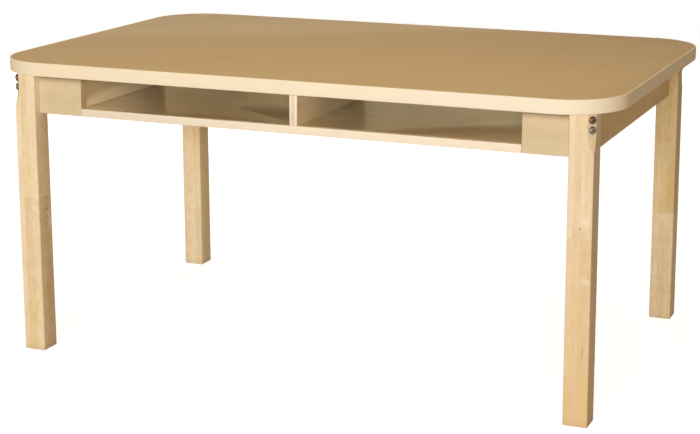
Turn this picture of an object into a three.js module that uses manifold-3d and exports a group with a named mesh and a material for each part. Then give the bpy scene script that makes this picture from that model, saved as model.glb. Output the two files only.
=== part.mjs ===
// Two-seat school desk with a laminate top, bolted hardwood legs and two open book compartments.
// Millimetres, +Z up. The origin is on the floor under the middle of the top. The open side of the
// compartments faces -Y, +X is to the right of someone who looks into them.

import * as THREE from 'three';
import { mergeVertices } from 'three/addons/utils/BufferGeometryUtils.js';
import Module from 'manifold-3d';

const wasm = await Module();
wasm.setup();

// Top
const topLength = 1219.2;
const topDepth = 762;
const topHeight = 579.5;
const topThickness = 25.4;
const topCornerRadius = 110;
const laminateThickness = 1.2;
const backerThickness = 0.8;
const bandThickness = 3;
const bandEasing = 1.5;

// Legs
const legWidth = 44.45;
const legInsetFromEnds = 38.6;
const legInsetFromSides = 29.4;
const legEasing = 2.5;
const footEasing = 1.5;
const legChamfer = 11;
const legChamferLength = 50;
const chamferCutterRadius = 30;

// Aprons
const apronThickness = 19;
const apronHeight = 81;
const apronSetback = 18;
const apronEasing = 2;
const frontApronLengths = { left: 92, right: 87.5 };
const frontApronEndEasing = 3;

// Book compartments
const shelfThickness = 15.2;
const panelThickness = 15;
const backPanelThickness = 9;
const compartmentDepth = 320;
const dividerOffset = 9.4;
const dividerGrooveDepth = 4;
const dividerGrooveStop = 14;

// Leg bolts and nuts, 5/16 in
const boltDiameter = 7.94;
const boltHeadDiameter = 13.9;
const boltHeadHeight = 4.2;
const boltHeadFlat = 6.4;
const boltHeadRim = 0.9;
const boltSocketAcross = 4.76;
const boltSocketDepth = 2.6;
const boltTipChamfer = 1;
const boltProjection = 2;
const upperBoltDrop = 12;
const boltSpacing = 17;
const nutAcross = 12.7;
const nutHeight = 6.75;
const nutChamferAngle = Math.PI / 6;

// Steel corner braces
const braceThickness = 2.3;
const braceHeight = 38;
const braceDraw = 9.5;
const braceFlange = 36;
const braceHook = 7;
const braceBendRadius = 1.5;
const kerfPlay = 0.8;
const kerfRunOn = 3;

// Brace screws
const screwDiameter = 4.2;
const screwHeadDiameter = 8;
const screwHeadHeight = 2.6;
const screwLength = 16;
const screwPointLength = 4;
const screwSpacing = 20;
const screwCrownShare = 0.55;
const screwShoulderShare = 0.9;
const screwShoulderLevel = 0.65;

// Pocket screws that hold the top
const pocketScrewDiameter = 4;
const pocketScrewHeadDiameter = 9.4;
const pocketScrewHeadHeight = 2.4;
const pocketScrewLength = 38;
const pocketDiameter = 10.4;
const pocketAngle = (15 * Math.PI) / 180;
const pocketShoulder = 25;
const sidePocketSpacing = 300;
const rearPocketSpacing = 520;

// Play between neighbours
const glueLine = 0.1;
const dryFit = 0.3;
const holePlay = 0.3;

// Facets
const cornerSegments = 8;
const easingSegments = 2;
const boltSides = 18;
const nutSides = 24;
const screwSides = 10;
const hexagonSides = 6;
const holeSides = 12;
const domeSteps = 3;
const bendSteps = 3;

// How far a cutter runs past what it cuts
const overrun = 1;

// Corners nearer than this are one corner
const weldDistance = 1e-5;

// Levels and planes worked out from the sizes above
const underside = topHeight - topThickness;
const frameTop = underside - dryFit;
const apronBottom = underside - apronHeight;
const legFaceX = topLength / 2 - legInsetFromEnds;
const legFaceY = topDepth / 2 - legInsetFromSides;
const apronInset = apronSetback + apronThickness;
const sideApronOuterX = legFaceX - apronSetback;
const sideApronInnerX = legFaceX - apronInset;
const frontPlaneY = -legFaceY + apronSetback;
const frontApronInnerY = frontPlaneY + apronThickness;
const apronEndX = legFaceX - legWidth - dryFit;
const shelfTop = apronBottom + shelfThickness;
const backPanelY = frontPlaneY + compartmentDepth;
const legTop = frameTop;

// Where the compartments' opening begins and ends along X, and where the divider does.
const openingEnds = {
  left: frontApronLengths.left - apronEndX,
  right: apronEndX - frontApronLengths.right,
};
const dividerLimits = [dividerOffset - panelThickness / 2, dividerOffset + panelThickness / 2];

const diagonal = new THREE.Vector3(1, 1, 0).normalize();
const up = new THREE.Vector3(0, 0, 1);

const materials = {
  laminate: new THREE.MeshStandardMaterial({ color: 0xb4966b, roughness: 0.45, metalness: 0 }),
  band: new THREE.MeshStandardMaterial({ color: 0xf6e0bd, roughness: 0.4, metalness: 0 }),
  core: new THREE.MeshStandardMaterial({ color: 0xc2a27a, roughness: 0.9, metalness: 0 }),
  backer: new THREE.MeshStandardMaterial({ color: 0x8c6f4d, roughness: 0.7, metalness: 0 }),
  maple: new THREE.MeshStandardMaterial({ color: 0xebd2a6, roughness: 0.45, metalness: 0 }),
  apron: new THREE.MeshStandardMaterial({ color: 0xdcc49a, roughness: 0.5, metalness: 0 }),
  shelf: new THREE.MeshStandardMaterial({ color: 0xd9b98a, roughness: 0.35, metalness: 0 }),
  plywood: new THREE.MeshStandardMaterial({ color: 0xe3cba0, roughness: 0.5, metalness: 0 }),
  blackSteel: new THREE.MeshStandardMaterial({ color: 0x3b2a20, roughness: 0.4, metalness: 0.8 }),
  zincSteel: new THREE.MeshStandardMaterial({ color: 0xa9abab, roughness: 0.35, metalness: 0.9 }),
};

// Solids

function toSolid(geometry) {
  const bare = geometry.clone();
  bare.deleteAttribute('normal');
  bare.deleteAttribute('uv');
  const welded = mergeVertices(bare, weldDistance);
  return new wasm.Manifold(
    new wasm.Mesh({
      numProp: 3,
      vertProperties: new Float32Array(welded.attributes.position.array),
      triVerts: new Uint32Array(welded.index.array),
    }),
  );
}

function toGeometry(solid) {
  const mesh = solid.getMesh();
  const geometry = new THREE.BufferGeometry();
  geometry.setAttribute('position', new THREE.BufferAttribute(mesh.vertProperties, 3));
  geometry.setIndex(new THREE.BufferAttribute(mesh.triVerts, 1));
  geometry.computeVertexNormals();
  return geometry;
}

function cut(body, ...cutters) {
  const left = cutters.reduce((solid, cutter) => solid.subtract(toSolid(cutter)), toSolid(body));
  return toGeometry(left);
}

function common(first, second) {
  return toGeometry(toSolid(first).intersect(toSolid(second)));
}

// A block whose faces lie exactly on the limits given for each axis.
function block(limitsX, limitsY, limitsZ) {
  const geometry = new THREE.BoxGeometry(1, 1, 1);
  const position = geometry.attributes.position;
  const side = (value) => (value > 0 ? 1 : 0);
  for (let i = 0; i < position.count; i += 1) {
    position.setXYZ(
      i,
      limitsX[side(position.getX(i))],
      limitsY[side(position.getY(i))],
      limitsZ[side(position.getZ(i))],
    );
  }
  return geometry;
}

function roundedRectangle(length, depth, radius) {
  const x = length / 2 - radius;
  const y = depth / 2 - radius;
  const quarter = Math.PI / 2;
  const shape = new THREE.Shape();
  shape.absarc(x, y, radius, 0, quarter);
  shape.absarc(-x, y, radius, quarter, 2 * quarter);
  shape.absarc(-x, -y, radius, 2 * quarter, 3 * quarter);
  shape.absarc(x, -y, radius, 3 * quarter, 4 * quarter);
  return shape;
}

function slab(shape, bottom, top, curveSegments) {
  const geometry = new THREE.ExtrudeGeometry(shape, {
    depth: top - bottom,
    bevelEnabled: false,
    curveSegments,
  });
  return geometry.translate(0, 0, bottom);
}

// A right prism about +Y with its corners on the radius.
function prism(radius, bottom, top, sides) {
  const geometry = new THREE.CylinderGeometry(radius, radius, top - bottom, sides);
  return geometry.translate(0, (bottom + top) / 2, 0);
}

// The cutter for a round hole about +Y: its facets touch the radius from outside.
function bore(radius, bottom, top) {
  return prism(radius / Math.cos(Math.PI / holeSides), bottom, top, holeSides);
}

function namedMesh(name, geometry, material) {
  const mesh = new THREE.Mesh(geometry, material);
  mesh.name = name;
  return mesh;
}

// Pocket screws. Each runs up through an apron at an angle and comes out in the middle of its top edge. A
// pocket screw has its place on that edge and the level direction that it leans to.

function pocketScrewPlaces() {
  const sideX = (sideApronOuterX + sideApronInnerX) / 2;
  const rearY = -(frontPlaneY + frontApronInnerY) / 2;
  const places = [];
  for (const sx of [-1, 1]) {
    for (const sy of [-1, 1]) {
      places.push({
        name: `top_screw_${sx < 0 ? 'left' : 'right'}_${sy < 0 ? 'front' : 'rear'}`,
        apron: sx < 0 ? 'left' : 'right',
        point: new THREE.Vector3(sx * sideX, (sy * sidePocketSpacing) / 2, underside),
        lean: new THREE.Vector3(sx, 0, 0),
      });
    }
    places.push({
      name: `top_screw_back_${sx < 0 ? 'left' : 'right'}`,
      apron: 'rear',
      point: new THREE.Vector3((sx * rearPocketSpacing) / 2, rearY, underside),
      lean: new THREE.Vector3(0, 1, 0),
    });
  }
  return places;
}

// Stands a geometry made about +Y on a pocket screw's axis, its origin at the screw's seat.
function onPocketAxis(geometry, place) {
  const axis = up.clone().multiplyScalar(Math.cos(pocketAngle));
  axis.addScaledVector(place.lean, Math.sin(pocketAngle));
  const turn = new THREE.Quaternion().setFromUnitVectors(new THREE.Vector3(0, 1, 0), axis);
  const seat = place.point.clone().addScaledVector(axis, -pocketShoulder);
  return geometry.applyQuaternion(turn).translate(seat.x, seat.y, seat.z);
}

function pocketScrewHole(place) {
  const radius = pocketScrewDiameter / 2 + holePlay;
  return onPocketAxis(bore(radius, -dryFit - overrun, pocketScrewLength + overrun), place);
}

// The pocket is open at the apron's inner face, where the screw and its driver go in.
function pocket(place) {
  return onPocketAxis(bore(pocketDiameter / 2, -apronHeight / 2, -dryFit), place);
}

// A screw about +Y: the underside of its head is at the origin and its point is at the far end.
function screwGeometry(diameter, headDiameter, headHeight, length) {
  const radius = diameter / 2;
  const headRadius = headDiameter / 2;
  const profile = [
    new THREE.Vector2(0, -headHeight),
    new THREE.Vector2(headRadius * screwCrownShare, -headHeight),
    new THREE.Vector2(headRadius * screwShoulderShare, -headHeight * screwShoulderLevel),
    new THREE.Vector2(headRadius, 0),
    new THREE.Vector2(radius, 0),
    new THREE.Vector2(radius, length - screwPointLength),
    new THREE.Vector2(0, length),
  ];
  return new THREE.LatheGeometry(profile, screwSides);
}

function pocketScrew(place) {
  const geometry = screwGeometry(
    pocketScrewDiameter,
    pocketScrewHeadDiameter,
    pocketScrewHeadHeight,
    pocketScrewLength,
  );
  geometry.translate(0, -dryFit * 2, 0);
  return namedMesh(place.name, onPocketAxis(geometry, place), materials.zincSteel);
}

// Top: backing sheet, core and laminate glued in layers, with an edge band round all three.

function topSheet(inset, bottom, top) {
  const shape = roundedRectangle(
    topLength - 2 * inset,
    topDepth - 2 * inset,
    topCornerRadius - inset,
  );
  return slab(shape, bottom, top, cornerSegments);
}

function edgeBand() {
  const outline = roundedRectangle(topLength, topDepth, topCornerRadius);
  const outer = new THREE.ExtrudeGeometry(outline, {
    depth: topThickness - 2 * bandEasing,
    bevelThickness: bandEasing,
    bevelSize: bandEasing,
    bevelOffset: -bandEasing,
    bevelSegments: easingSegments,
    curveSegments: cornerSegments,
  });
  outer.translate(0, 0, underside + bandEasing);
  return cut(outer, topSheet(bandThickness, underside - overrun, topHeight + overrun));
}

function makeTop() {
  const inset = bandThickness + glueLine;
  const backerTop = underside + backerThickness;
  const laminateBottom = topHeight - laminateThickness;
  const holes = () => pocketScrewPlaces().map(pocketScrewHole);
  const backer = cut(topSheet(inset, underside, backerTop), ...holes());
  const core = cut(topSheet(inset, backerTop + glueLine, laminateBottom - glueLine), ...holes());
  const group = new THREE.Group();
  group.add(
    namedMesh('top_laminate', topSheet(inset, laminateBottom, topHeight), materials.laminate),
    namedMesh('top_core', core, materials.core),
    namedMesh('top_backer', backer, materials.backer),
    namedMesh('top_edge_band', edgeBand(), materials.band),
    ...pocketScrewPlaces().map(pocketScrew),
  );
  return group;
}

// Corner assemblies. Each is drawn in a frame of its own whose origin is the leg's outer arris on the
// floor, with +X and +Y running inwards along the two aprons, and is turned into its corner by quarter
// turns. Everything in it is symmetric about the diagonal between +X and +Y, so one drawing fits all four.

const chamferPlane = legChamfer / Math.SQRT2;
const braceFace = legWidth * Math.SQRT2 + braceDraw;
const boltSeat = chamferPlane - dryFit;
const nutSeat = braceFace + braceThickness + dryFit;
const boltLength = nutSeat + nutHeight + boltProjection - boltSeat;
const boltLevels = [underside - upperBoltDrop, underside - upperBoltDrop - boltSpacing];
const braceMiddle = (boltLevels[0] + boltLevels[1]) / 2;
const screwLevels = [braceMiddle - screwSpacing / 2, braceMiddle + screwSpacing / 2];

// How far in from the leg's outer faces the brace's flange, its foot and its hook lie, all measured to
// the middle of the plate.
const flangeInset = apronInset + dryFit + braceThickness / 2;
const webFoot = Math.SQRT2 * (braceFace + braceThickness / 2) - flangeInset;
const hookInset = webFoot + braceFlange;
const screwInset = (webFoot + hookInset) / 2;
const kerfWidth = braceThickness + 2 * kerfPlay;

// Lays a geometry made about +Y along the corner's diagonal, its origin at a distance in from the arris.
function alongDiagonal(geometry, distance, level) {
  const start = diagonal.clone().multiplyScalar(distance);
  return geometry.rotateZ(-Math.PI / 4).translate(start.x, start.y, level);
}

function boltHole(level) {
  return alongDiagonal(bore(boltDiameter / 2 + holePlay, -overrun, nutSeat + overrun), 0, level);
}

// The stopped chamfer is milled with a round cutter, which leaves a curved run-out below the full depth.
function chamferCutter() {
  const fullDepthLevel = legTop - legChamferLength;
  const sweep = Math.acos(1 - (chamferPlane + overrun) / chamferCutterRadius);
  const profile = new THREE.Shape();
  profile.moveTo(-overrun, legTop + overrun);
  profile.lineTo(chamferPlane, legTop + overrun);
  profile.absarc(
    chamferPlane - chamferCutterRadius,
    fullDepthLevel,
    chamferCutterRadius,
    0,
    -sweep,
    true,
  );
  profile.closePath();
  const across = new THREE.Vector3().crossVectors(diagonal, up);
  const upright = new THREE.Matrix4().makeBasis(diagonal, up, across);
  const cutter = slab(profile, -legWidth, legWidth, 2 * cornerSegments);
  return cutter.applyMatrix4(upright);
}

function legGeometry() {
  const blank = new THREE.ExtrudeGeometry(roundedRectangle(legWidth, legWidth, legEasing), {
    depth: legTop,
    bevelThickness: footEasing,
    bevelSize: footEasing,
    bevelOffset: -footEasing,
    bevelSegments: easingSegments,
    curveSegments: easingSegments,
  });
  blank.translate(legWidth / 2, legWidth / 2, footEasing);
  const across = [-overrun, legWidth + overrun];
  const waste = block(across, across, [legTop, legTop + 2 * footEasing + overrun]);
  return cut(blank, waste, chamferCutter(), ...boltLevels.map(boltHole));
}

// A button-head socket bolt about +Y: the underside of its head is at the origin.
function boltGeometry() {
  const headRadius = boltHeadDiameter / 2;
  const flatRadius = boltHeadFlat / 2;
  const shankRadius = boltDiameter / 2;
  const domeHeight = boltHeadHeight - boltHeadRim;
  const profile = [new THREE.Vector2(0, -boltHeadHeight)];
  for (let step = 0; step <= domeSteps; step += 1) {
    const angle = (step / domeSteps) * (Math.PI / 2);
    profile.push(
      new THREE.Vector2(
        flatRadius + (headRadius - flatRadius) * Math.sin(angle),
        -boltHeadRim - domeHeight * Math.cos(angle),
      ),
    );
  }
  profile.push(
    new THREE.Vector2(headRadius, 0),
    new THREE.Vector2(shankRadius, 0),
    new THREE.Vector2(shankRadius, boltLength - boltTipChamfer),
    new THREE.Vector2(shankRadius - boltTipChamfer, boltLength),
    new THREE.Vector2(0, boltLength),
  );
  const socketMouth = -boltHeadHeight - overrun;
  const socketFloor = -boltHeadHeight + boltSocketDepth;
  const socket = prism(boltSocketAcross / Math.sqrt(3), socketMouth, socketFloor, hexagonSides);
  return cut(new THREE.LatheGeometry(profile, boltSides), socket);
}

// A hexagon nut about +Y from the origin, its six corners turned off at both faces.
function nutGeometry() {
  const cornerRadius = nutAcross / Math.sqrt(3);
  const faceRadius = nutAcross / 2;
  const drop = (cornerRadius - faceRadius) * Math.tan(nutChamferAngle);
  const turned = [
    new THREE.Vector2(0, 0),
    new THREE.Vector2(faceRadius, 0),
    new THREE.Vector2(cornerRadius, drop),
    new THREE.Vector2(cornerRadius, nutHeight - drop),
    new THREE.Vector2(faceRadius, nutHeight),
    new THREE.Vector2(0, nutHeight),
  ];
  const hexagon = prism(cornerRadius, -overrun, nutHeight + overrun, hexagonSides);
  const blank = common(new THREE.LatheGeometry(turned, nutSides), hexagon);
  return cut(blank, bore(boltDiameter / 2 + holePlay, -overrun, nutHeight + overrun));
}

// A strip of plate that follows a bent line: each corner of the line gets a round bend.
function bentStrip(corners, thickness, insideRadius) {
  const bendRadius = insideRadius + thickness / 2;
  const middle = [{ point: corners[0], along: corners[1].clone().sub(corners[0]).normalize() }];
  for (let i = 1; i < corners.length - 1; i += 1) {
    const before = corners[i].clone().sub(corners[i - 1]).normalize();
    const after = corners[i + 1].clone().sub(corners[i]).normalize();
    const turn = Math.atan2(before.cross(after), before.dot(after));
    const setback = bendRadius * Math.tan(Math.abs(turn) / 2);
    const start = corners[i].clone().addScaledVector(before, -setback);
    const toCentre = new THREE.Vector2(-before.y, before.x).multiplyScalar(Math.sign(turn));
    const centre = start.clone().addScaledVector(toCentre, bendRadius);
    for (let step = 0; step <= bendSteps; step += 1) {
      const angle = (turn * step) / bendSteps;
      middle.push({
        point: start.clone().rotateAround(centre, angle),
        along: before.clone().rotateAround(new THREE.Vector2(), angle),
      });
    }
  }
  const last = corners.length - 1;
  middle.push({
    point: corners[last],
    along: corners[last].clone().sub(corners[last - 1]).normalize(),
  });
  const offset = (sign) => ({ point, along }) =>
    point.clone().addScaledVector(new THREE.Vector2(-along.y, along.x), (sign * thickness) / 2);
  const left = middle.map(offset(1));
  const right = middle.map(offset(-1)).reverse();
  return new THREE.Shape([...left, ...right]);
}

function braceGeometry() {
  const hookTip = apronInset - braceHook;
  const corners = [
    new THREE.Vector2(hookTip, hookInset),
    new THREE.Vector2(flangeInset, hookInset),
    new THREE.Vector2(flangeInset, webFoot),
    new THREE.Vector2(webFoot, flangeInset),
    new THREE.Vector2(hookInset, flangeInset),
    new THREE.Vector2(hookInset, hookTip),
  ];
  const bottom = braceMiddle - braceHeight / 2;
  const strip = bentStrip(corners, braceThickness, braceBendRadius);
  const plate = slab(strip, bottom, bottom + braceHeight, 1);
  return cut(plate, ...boltLevels.map(boltHole), ...screwLevels.flatMap(flangeHoles));
}

// The screws run out of the corner, at right angles to their apron: one apron lies along +X, the other
// along +Y. A quarter turn about Z takes the first to the second.
const screwTurns = { x: Math.PI, y: Math.PI / 2 };

function placeBraceScrew(object, apronAxis, level) {
  const seat = flangeInset + braceThickness / 2 + dryFit;
  const [x, y] = apronAxis === 'x' ? [screwInset, seat] : [seat, screwInset];
  object.rotation.set(0, 0, screwTurns[apronAxis]);
  object.position.set(x, y, level);
  object.updateMatrix();
  return object;
}

function braceScrewHole(apronAxis, level) {
  const hole = bore(screwDiameter / 2 + holePlay, -overrun, screwLength + overrun);
  return hole.applyMatrix4(placeBraceScrew(new THREE.Object3D(), apronAxis, level).matrix);
}

function flangeHoles(level) {
  return ['x', 'y'].map((apronAxis) => braceScrewHole(apronAxis, level));
}

// The saw kerf that a brace's hook drops into, seen from the corner's own frame, with its pilot holes.
function kerf(apronAxis) {
  const across = [apronInset - braceHook - kerfPlay, apronInset + overrun];
  const along = [hookInset - kerfWidth / 2, hookInset + kerfWidth / 2];
  const levels = [braceMiddle - braceHeight / 2 - kerfRunOn, underside + overrun];
  return apronAxis === 'x' ? block(along, across, levels) : block(across, along, levels);
}

function apronCutters(apronAxis) {
  return [kerf(apronAxis), ...screwLevels.map((level) => braceScrewHole(apronAxis, level))];
}

const corners = [
  { name: 'front_left', sx: -1, sy: -1, turns: 0 },
  { name: 'front_right', sx: 1, sy: -1, turns: 1 },
  { name: 'back_right', sx: 1, sy: 1, turns: 2 },
  { name: 'back_left', sx: -1, sy: 1, turns: 3 },
];

function placeInCorner(object, corner) {
  object.rotation.set(0, 0, (corner.turns * Math.PI) / 2);
  object.position.set(corner.sx * legFaceX, corner.sy * legFaceY, 0);
  object.updateMatrix();
  return object;
}

function makeCorner(corner) {
  const group = placeInCorner(new THREE.Group(), corner);
  group.add(namedMesh(`leg_${corner.name}`, legGeometry(), materials.maple));
  group.add(namedMesh(`corner_brace_${corner.name}`, braceGeometry(), materials.zincSteel));
  boltLevels.forEach((level, row) => {
    const place = `${corner.name}_${row === 0 ? 'upper' : 'lower'}`;
    const bolt = alongDiagonal(boltGeometry(), boltSeat, level);
    const nut = alongDiagonal(nutGeometry(), nutSeat, level);
    group.add(namedMesh(`leg_bolt_${place}`, bolt, materials.blackSteel));
    group.add(namedMesh(`leg_nut_${place}`, nut, materials.zincSteel));
  });
  for (const apronAxis of ['x', 'y']) {
    screwLevels.forEach((level, row) => {
      const alongSide = (apronAxis === 'y') === (corner.turns % 2 === 0);
      const place = `${alongSide ? 'side' : 'end'}_${row === 0 ? 'lower' : 'upper'}`;
      const geometry = screwGeometry(screwDiameter, screwHeadDiameter, screwHeadHeight, screwLength);
      const screw = namedMesh(`brace_screw_${corner.name}_${place}`, geometry, materials.zincSteel);
      group.add(placeBraceScrew(screw, apronAxis, level));
    });
  }
  return group;
}

// Aprons. Each is a profile with eased lower arrises, pushed along its length, then kerfed and bored.

function apronSection() {
  const x = apronThickness / 2;
  const radius = apronEasing;
  const shape = new THREE.Shape();
  shape.moveTo(x, frameTop);
  shape.lineTo(-x, frameTop);
  shape.absarc(-x + radius, apronBottom + radius, radius, Math.PI, 1.5 * Math.PI);
  shape.absarc(x - radius, apronBottom + radius, radius, 1.5 * Math.PI, 2 * Math.PI);
  shape.closePath();
  return shape;
}

// An apron along +X from one end to the other, its thickness centred on Y = 0.
function apronBlank(start, end) {
  const geometry = slab(apronSection(), start, end, easingSegments);
  const lengthwise = new THREE.Matrix4().makeBasis(
    new THREE.Vector3(0, 1, 0),
    new THREE.Vector3(0, 0, 1),
    new THREE.Vector3(1, 0, 0),
  );
  return geometry.applyMatrix4(lengthwise);
}

// The cutters of a corner, moved from the corner's frame to the desk's.
function cornerCutters(cornerName, isSideApron) {
  const corner = corners.find(({ name }) => name === cornerName);
  const apronAxis = isSideApron === (corner.turns % 2 === 0) ? 'y' : 'x';
  const { matrix } = placeInCorner(new THREE.Object3D(), corner);
  return apronCutters(apronAxis).map((cutter) => cutter.applyMatrix4(matrix));
}

function pocketCutters(apron) {
  const places = pocketScrewPlaces().filter((place) => place.apron === apron);
  return places.flatMap((place) => [pocket(place), pocketScrewHole(place)]);
}

function sideApron(side) {
  const sx = side === 'left' ? -1 : 1;
  const reach = legFaceY - legWidth - dryFit;
  const blank = apronBlank(-reach, reach).rotateZ(Math.PI / 2);
  blank.translate((sx * (sideApronOuterX + sideApronInnerX)) / 2, 0, 0);
  const cutters = [
    ...cornerCutters(`front_${side}`, true),
    ...cornerCutters(`back_${side}`, true),
    ...pocketCutters(side),
  ];
  return namedMesh(`apron_${side}`, cut(blank, ...cutters), materials.apron);
}

function rearApron() {
  const blank = apronBlank(-apronEndX, apronEndX);
  blank.translate(0, -(frontPlaneY + frontApronInnerY) / 2, 0);
  const cutters = [
    ...cornerCutters('back_left', false),
    ...cornerCutters('back_right', false),
    ...pocketCutters('rear'),
  ];
  return namedMesh('apron_rear', cut(blank, ...cutters), materials.apron);
}

// A front apron ends at the compartments, where its front arris is rounded over.
function frontApron(side) {
  const sx = side === 'left' ? -1 : 1;
  const end = openingEnds[side];
  const ends = [end, sx * apronEndX].sort((a, b) => a - b);
  const blank = apronBlank(...ends).translate(0, (frontPlaneY + frontApronInnerY) / 2, 0);
  const roundOver = new THREE.Shape();
  const radius = frontApronEndEasing;
  const centreX = end + sx * radius;
  roundOver.moveTo(centreX, frontPlaneY - overrun);
  roundOver.lineTo(end - sx * overrun, frontPlaneY - overrun);
  roundOver.lineTo(end - sx * overrun, frontPlaneY + radius);
  roundOver.absarc(
    centreX,
    frontPlaneY + radius,
    radius,
    sx > 0 ? Math.PI : 0,
    sx > 0 ? 1.5 * Math.PI : -0.5 * Math.PI,
    sx < 0,
  );
  roundOver.closePath();
  const cutter = slab(roundOver, apronBottom - overrun, underside + overrun, easingSegments);
  const cutters = [cutter, ...cornerCutters(`front_${side}`, false)];
  return namedMesh(`apron_front_${side}`, cut(blank, ...cutters), materials.apron);
}

// Book compartments: a shelf board between the front aprons, which widens behind them to carry the side
// walls, a divider in a stopped groove, and a back panel across the whole box.

function shelfBoard() {
  const front = [openingEnds.left + dryFit, openingEnds.right - dryFit];
  const rear = [openingEnds.left - panelThickness, openingEnds.right + panelThickness];
  const shoulder = frontApronInnerY + dryFit;
  const outline = new THREE.Shape([
    new THREE.Vector2(front[0], frontPlaneY),
    new THREE.Vector2(front[1], frontPlaneY),
    new THREE.Vector2(front[1], shoulder),
    new THREE.Vector2(rear[1], shoulder),
    new THREE.Vector2(rear[1], backPanelY - glueLine),
    new THREE.Vector2(rear[0], backPanelY - glueLine),
    new THREE.Vector2(rear[0], shoulder),
    new THREE.Vector2(front[0], shoulder),
  ]);
  const board = slab(outline, apronBottom, shelfTop, 1);
  const groove = block(
    [dividerLimits[0] - glueLine, dividerLimits[1] + glueLine],
    [frontPlaneY + dividerGrooveStop - glueLine, backPanelY + overrun],
    [shelfTop - dividerGrooveDepth, shelfTop + overrun],
  );
  return namedMesh('shelf_board', cut(board, groove), materials.shelf);
}

function divider() {
  const limitsY = [frontPlaneY, backPanelY - glueLine];
  const panel = block(dividerLimits, limitsY, [shelfTop - dividerGrooveDepth + glueLine, frameTop]);
  const nose = block(
    [dividerLimits[0] - overrun, dividerLimits[1] + overrun],
    [frontPlaneY - overrun, frontPlaneY + dividerGrooveStop],
    [apronBottom, shelfTop + glueLine],
  );
  return namedMesh('divider', cut(panel, nose), materials.plywood);
}

function sideWall(side) {
  const end = openingEnds[side];
  const outerEnd = end + (side === 'left' ? -panelThickness : panelThickness);
  const limitsX = [end, outerEnd].sort((a, b) => a - b);
  const limitsY = [frontApronInnerY + glueLine, backPanelY - glueLine];
  const wall = block(limitsX, limitsY, [shelfTop + glueLine, frameTop]);
  return namedMesh(`compartment_wall_${side}`, wall, materials.plywood);
}

function backPanel() {
  const panel = block(
    [openingEnds.left - panelThickness, openingEnds.right + panelThickness],
    [backPanelY, backPanelY + backPanelThickness],
    [apronBottom, frameTop],
  );
  return namedMesh('compartment_back', panel, materials.plywood);
}

const desk = new THREE.Group();
desk.add(
  makeTop(),
  ...corners.map(makeCorner),
  sideApron('left'),
  sideApron('right'),
  rearApron(),
  frontApron('left'),
  frontApron('right'),
  shelfBoard(),
  divider(),
  sideWall('left'),
  sideWall('right'),
  backPanel(),
);

export default desk;
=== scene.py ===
"""Two-seat school desk: the look of every piece, modelled round the fixed frame, and a studio to see it in.

The frame's nodes give the places. Everything is in metres, +Z up, with the origin on the floor under the
middle of the top and the open side of the book compartments facing -Y.
"""

import math

import bmesh
import bpy
from bpy.props import FloatProperty, FloatVectorProperty, PointerProperty
from bpy.types import Operator, Panel, PropertyGroup
from mathutils import Matrix, Vector


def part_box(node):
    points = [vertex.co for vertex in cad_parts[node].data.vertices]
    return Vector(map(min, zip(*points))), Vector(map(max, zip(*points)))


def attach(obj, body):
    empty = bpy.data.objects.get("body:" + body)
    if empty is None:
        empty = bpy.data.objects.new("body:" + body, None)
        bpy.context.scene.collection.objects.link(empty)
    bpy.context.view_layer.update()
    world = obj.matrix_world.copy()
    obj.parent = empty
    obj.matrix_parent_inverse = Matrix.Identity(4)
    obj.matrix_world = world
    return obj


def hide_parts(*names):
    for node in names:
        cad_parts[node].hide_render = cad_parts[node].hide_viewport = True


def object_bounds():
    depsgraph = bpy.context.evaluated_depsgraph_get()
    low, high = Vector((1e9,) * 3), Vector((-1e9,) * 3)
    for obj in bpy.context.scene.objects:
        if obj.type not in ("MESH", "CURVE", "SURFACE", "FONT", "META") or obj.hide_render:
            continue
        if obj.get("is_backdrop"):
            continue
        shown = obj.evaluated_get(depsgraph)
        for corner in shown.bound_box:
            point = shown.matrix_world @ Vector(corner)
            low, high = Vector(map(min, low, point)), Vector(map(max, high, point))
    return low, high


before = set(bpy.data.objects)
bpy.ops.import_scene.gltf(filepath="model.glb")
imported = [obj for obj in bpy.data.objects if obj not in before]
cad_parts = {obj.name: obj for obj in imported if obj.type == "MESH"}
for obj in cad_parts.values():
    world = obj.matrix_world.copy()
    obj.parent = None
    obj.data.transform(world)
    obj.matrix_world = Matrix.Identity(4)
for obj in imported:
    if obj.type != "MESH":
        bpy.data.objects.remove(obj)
cad_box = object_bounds()

bl_info = {
    "name": "Two-Seat School Desk",
    "version": (1, 0, 0),
    "blender": (4, 5, 0),
    "location": "View3D > Sidebar > Desk",
    "description": "Adds a laminate-topped school desk with bolted legs and two book compartments",
    "category": "Add Mesh",
}

MM = 0.001
HAIR = 0.01 * MM
UP = Vector((0, 0, 1))
DIAGONAL = Vector((1, 1, 0)).normalized()
CORNERS = ("front_left", "front_right", "back_right", "back_left")
AXES = {"X": 0, "Y": 1, "Z": 2}

# Sizes of the fittings and joints

BOLT_HEAD_HEIGHT = 4.2 * MM
BOLT_HEAD_FLAT = 6.4 * MM
BOLT_HEAD_RIM = 0.9 * MM
BOLT_HEAD_EDGE = 0.3 * MM
BOLT_SOCKET_ACROSS = 4.76 * MM
BOLT_SOCKET_DEPTH = 2.6 * MM
BOLT_PROJECTION = 2 * MM
BOLT_TIP = 1 * MM
THREAD_PITCH = 1.41 * MM
THREAD_DEPTH = 0.5 * MM
THREAD_TURNS = 9
NUT_ACROSS = 12.7 * MM
NUT_HEIGHT = 6.75 * MM
NUT_CHAMFER = math.radians(30)
BRACE_THICKNESS = 2.3 * MM
BRACE_HEIGHT = 38 * MM
BRACE_DRAW = 9.5 * MM
BRACE_FLANGE = 36 * MM
BRACE_HOOK = 7 * MM
BRACE_BEND = 1.5 * MM
BRACE_EDGE = 0.2 * MM
KERF_PLAY = 0.8 * MM
KERF_RUN_ON = 3 * MM
KERF_OPENING = 5 * MM
SCREW = {"diameter": 4.2 * MM, "length": 16 * MM, "head": 8 * MM, "head_height": 2.6 * MM}
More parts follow.
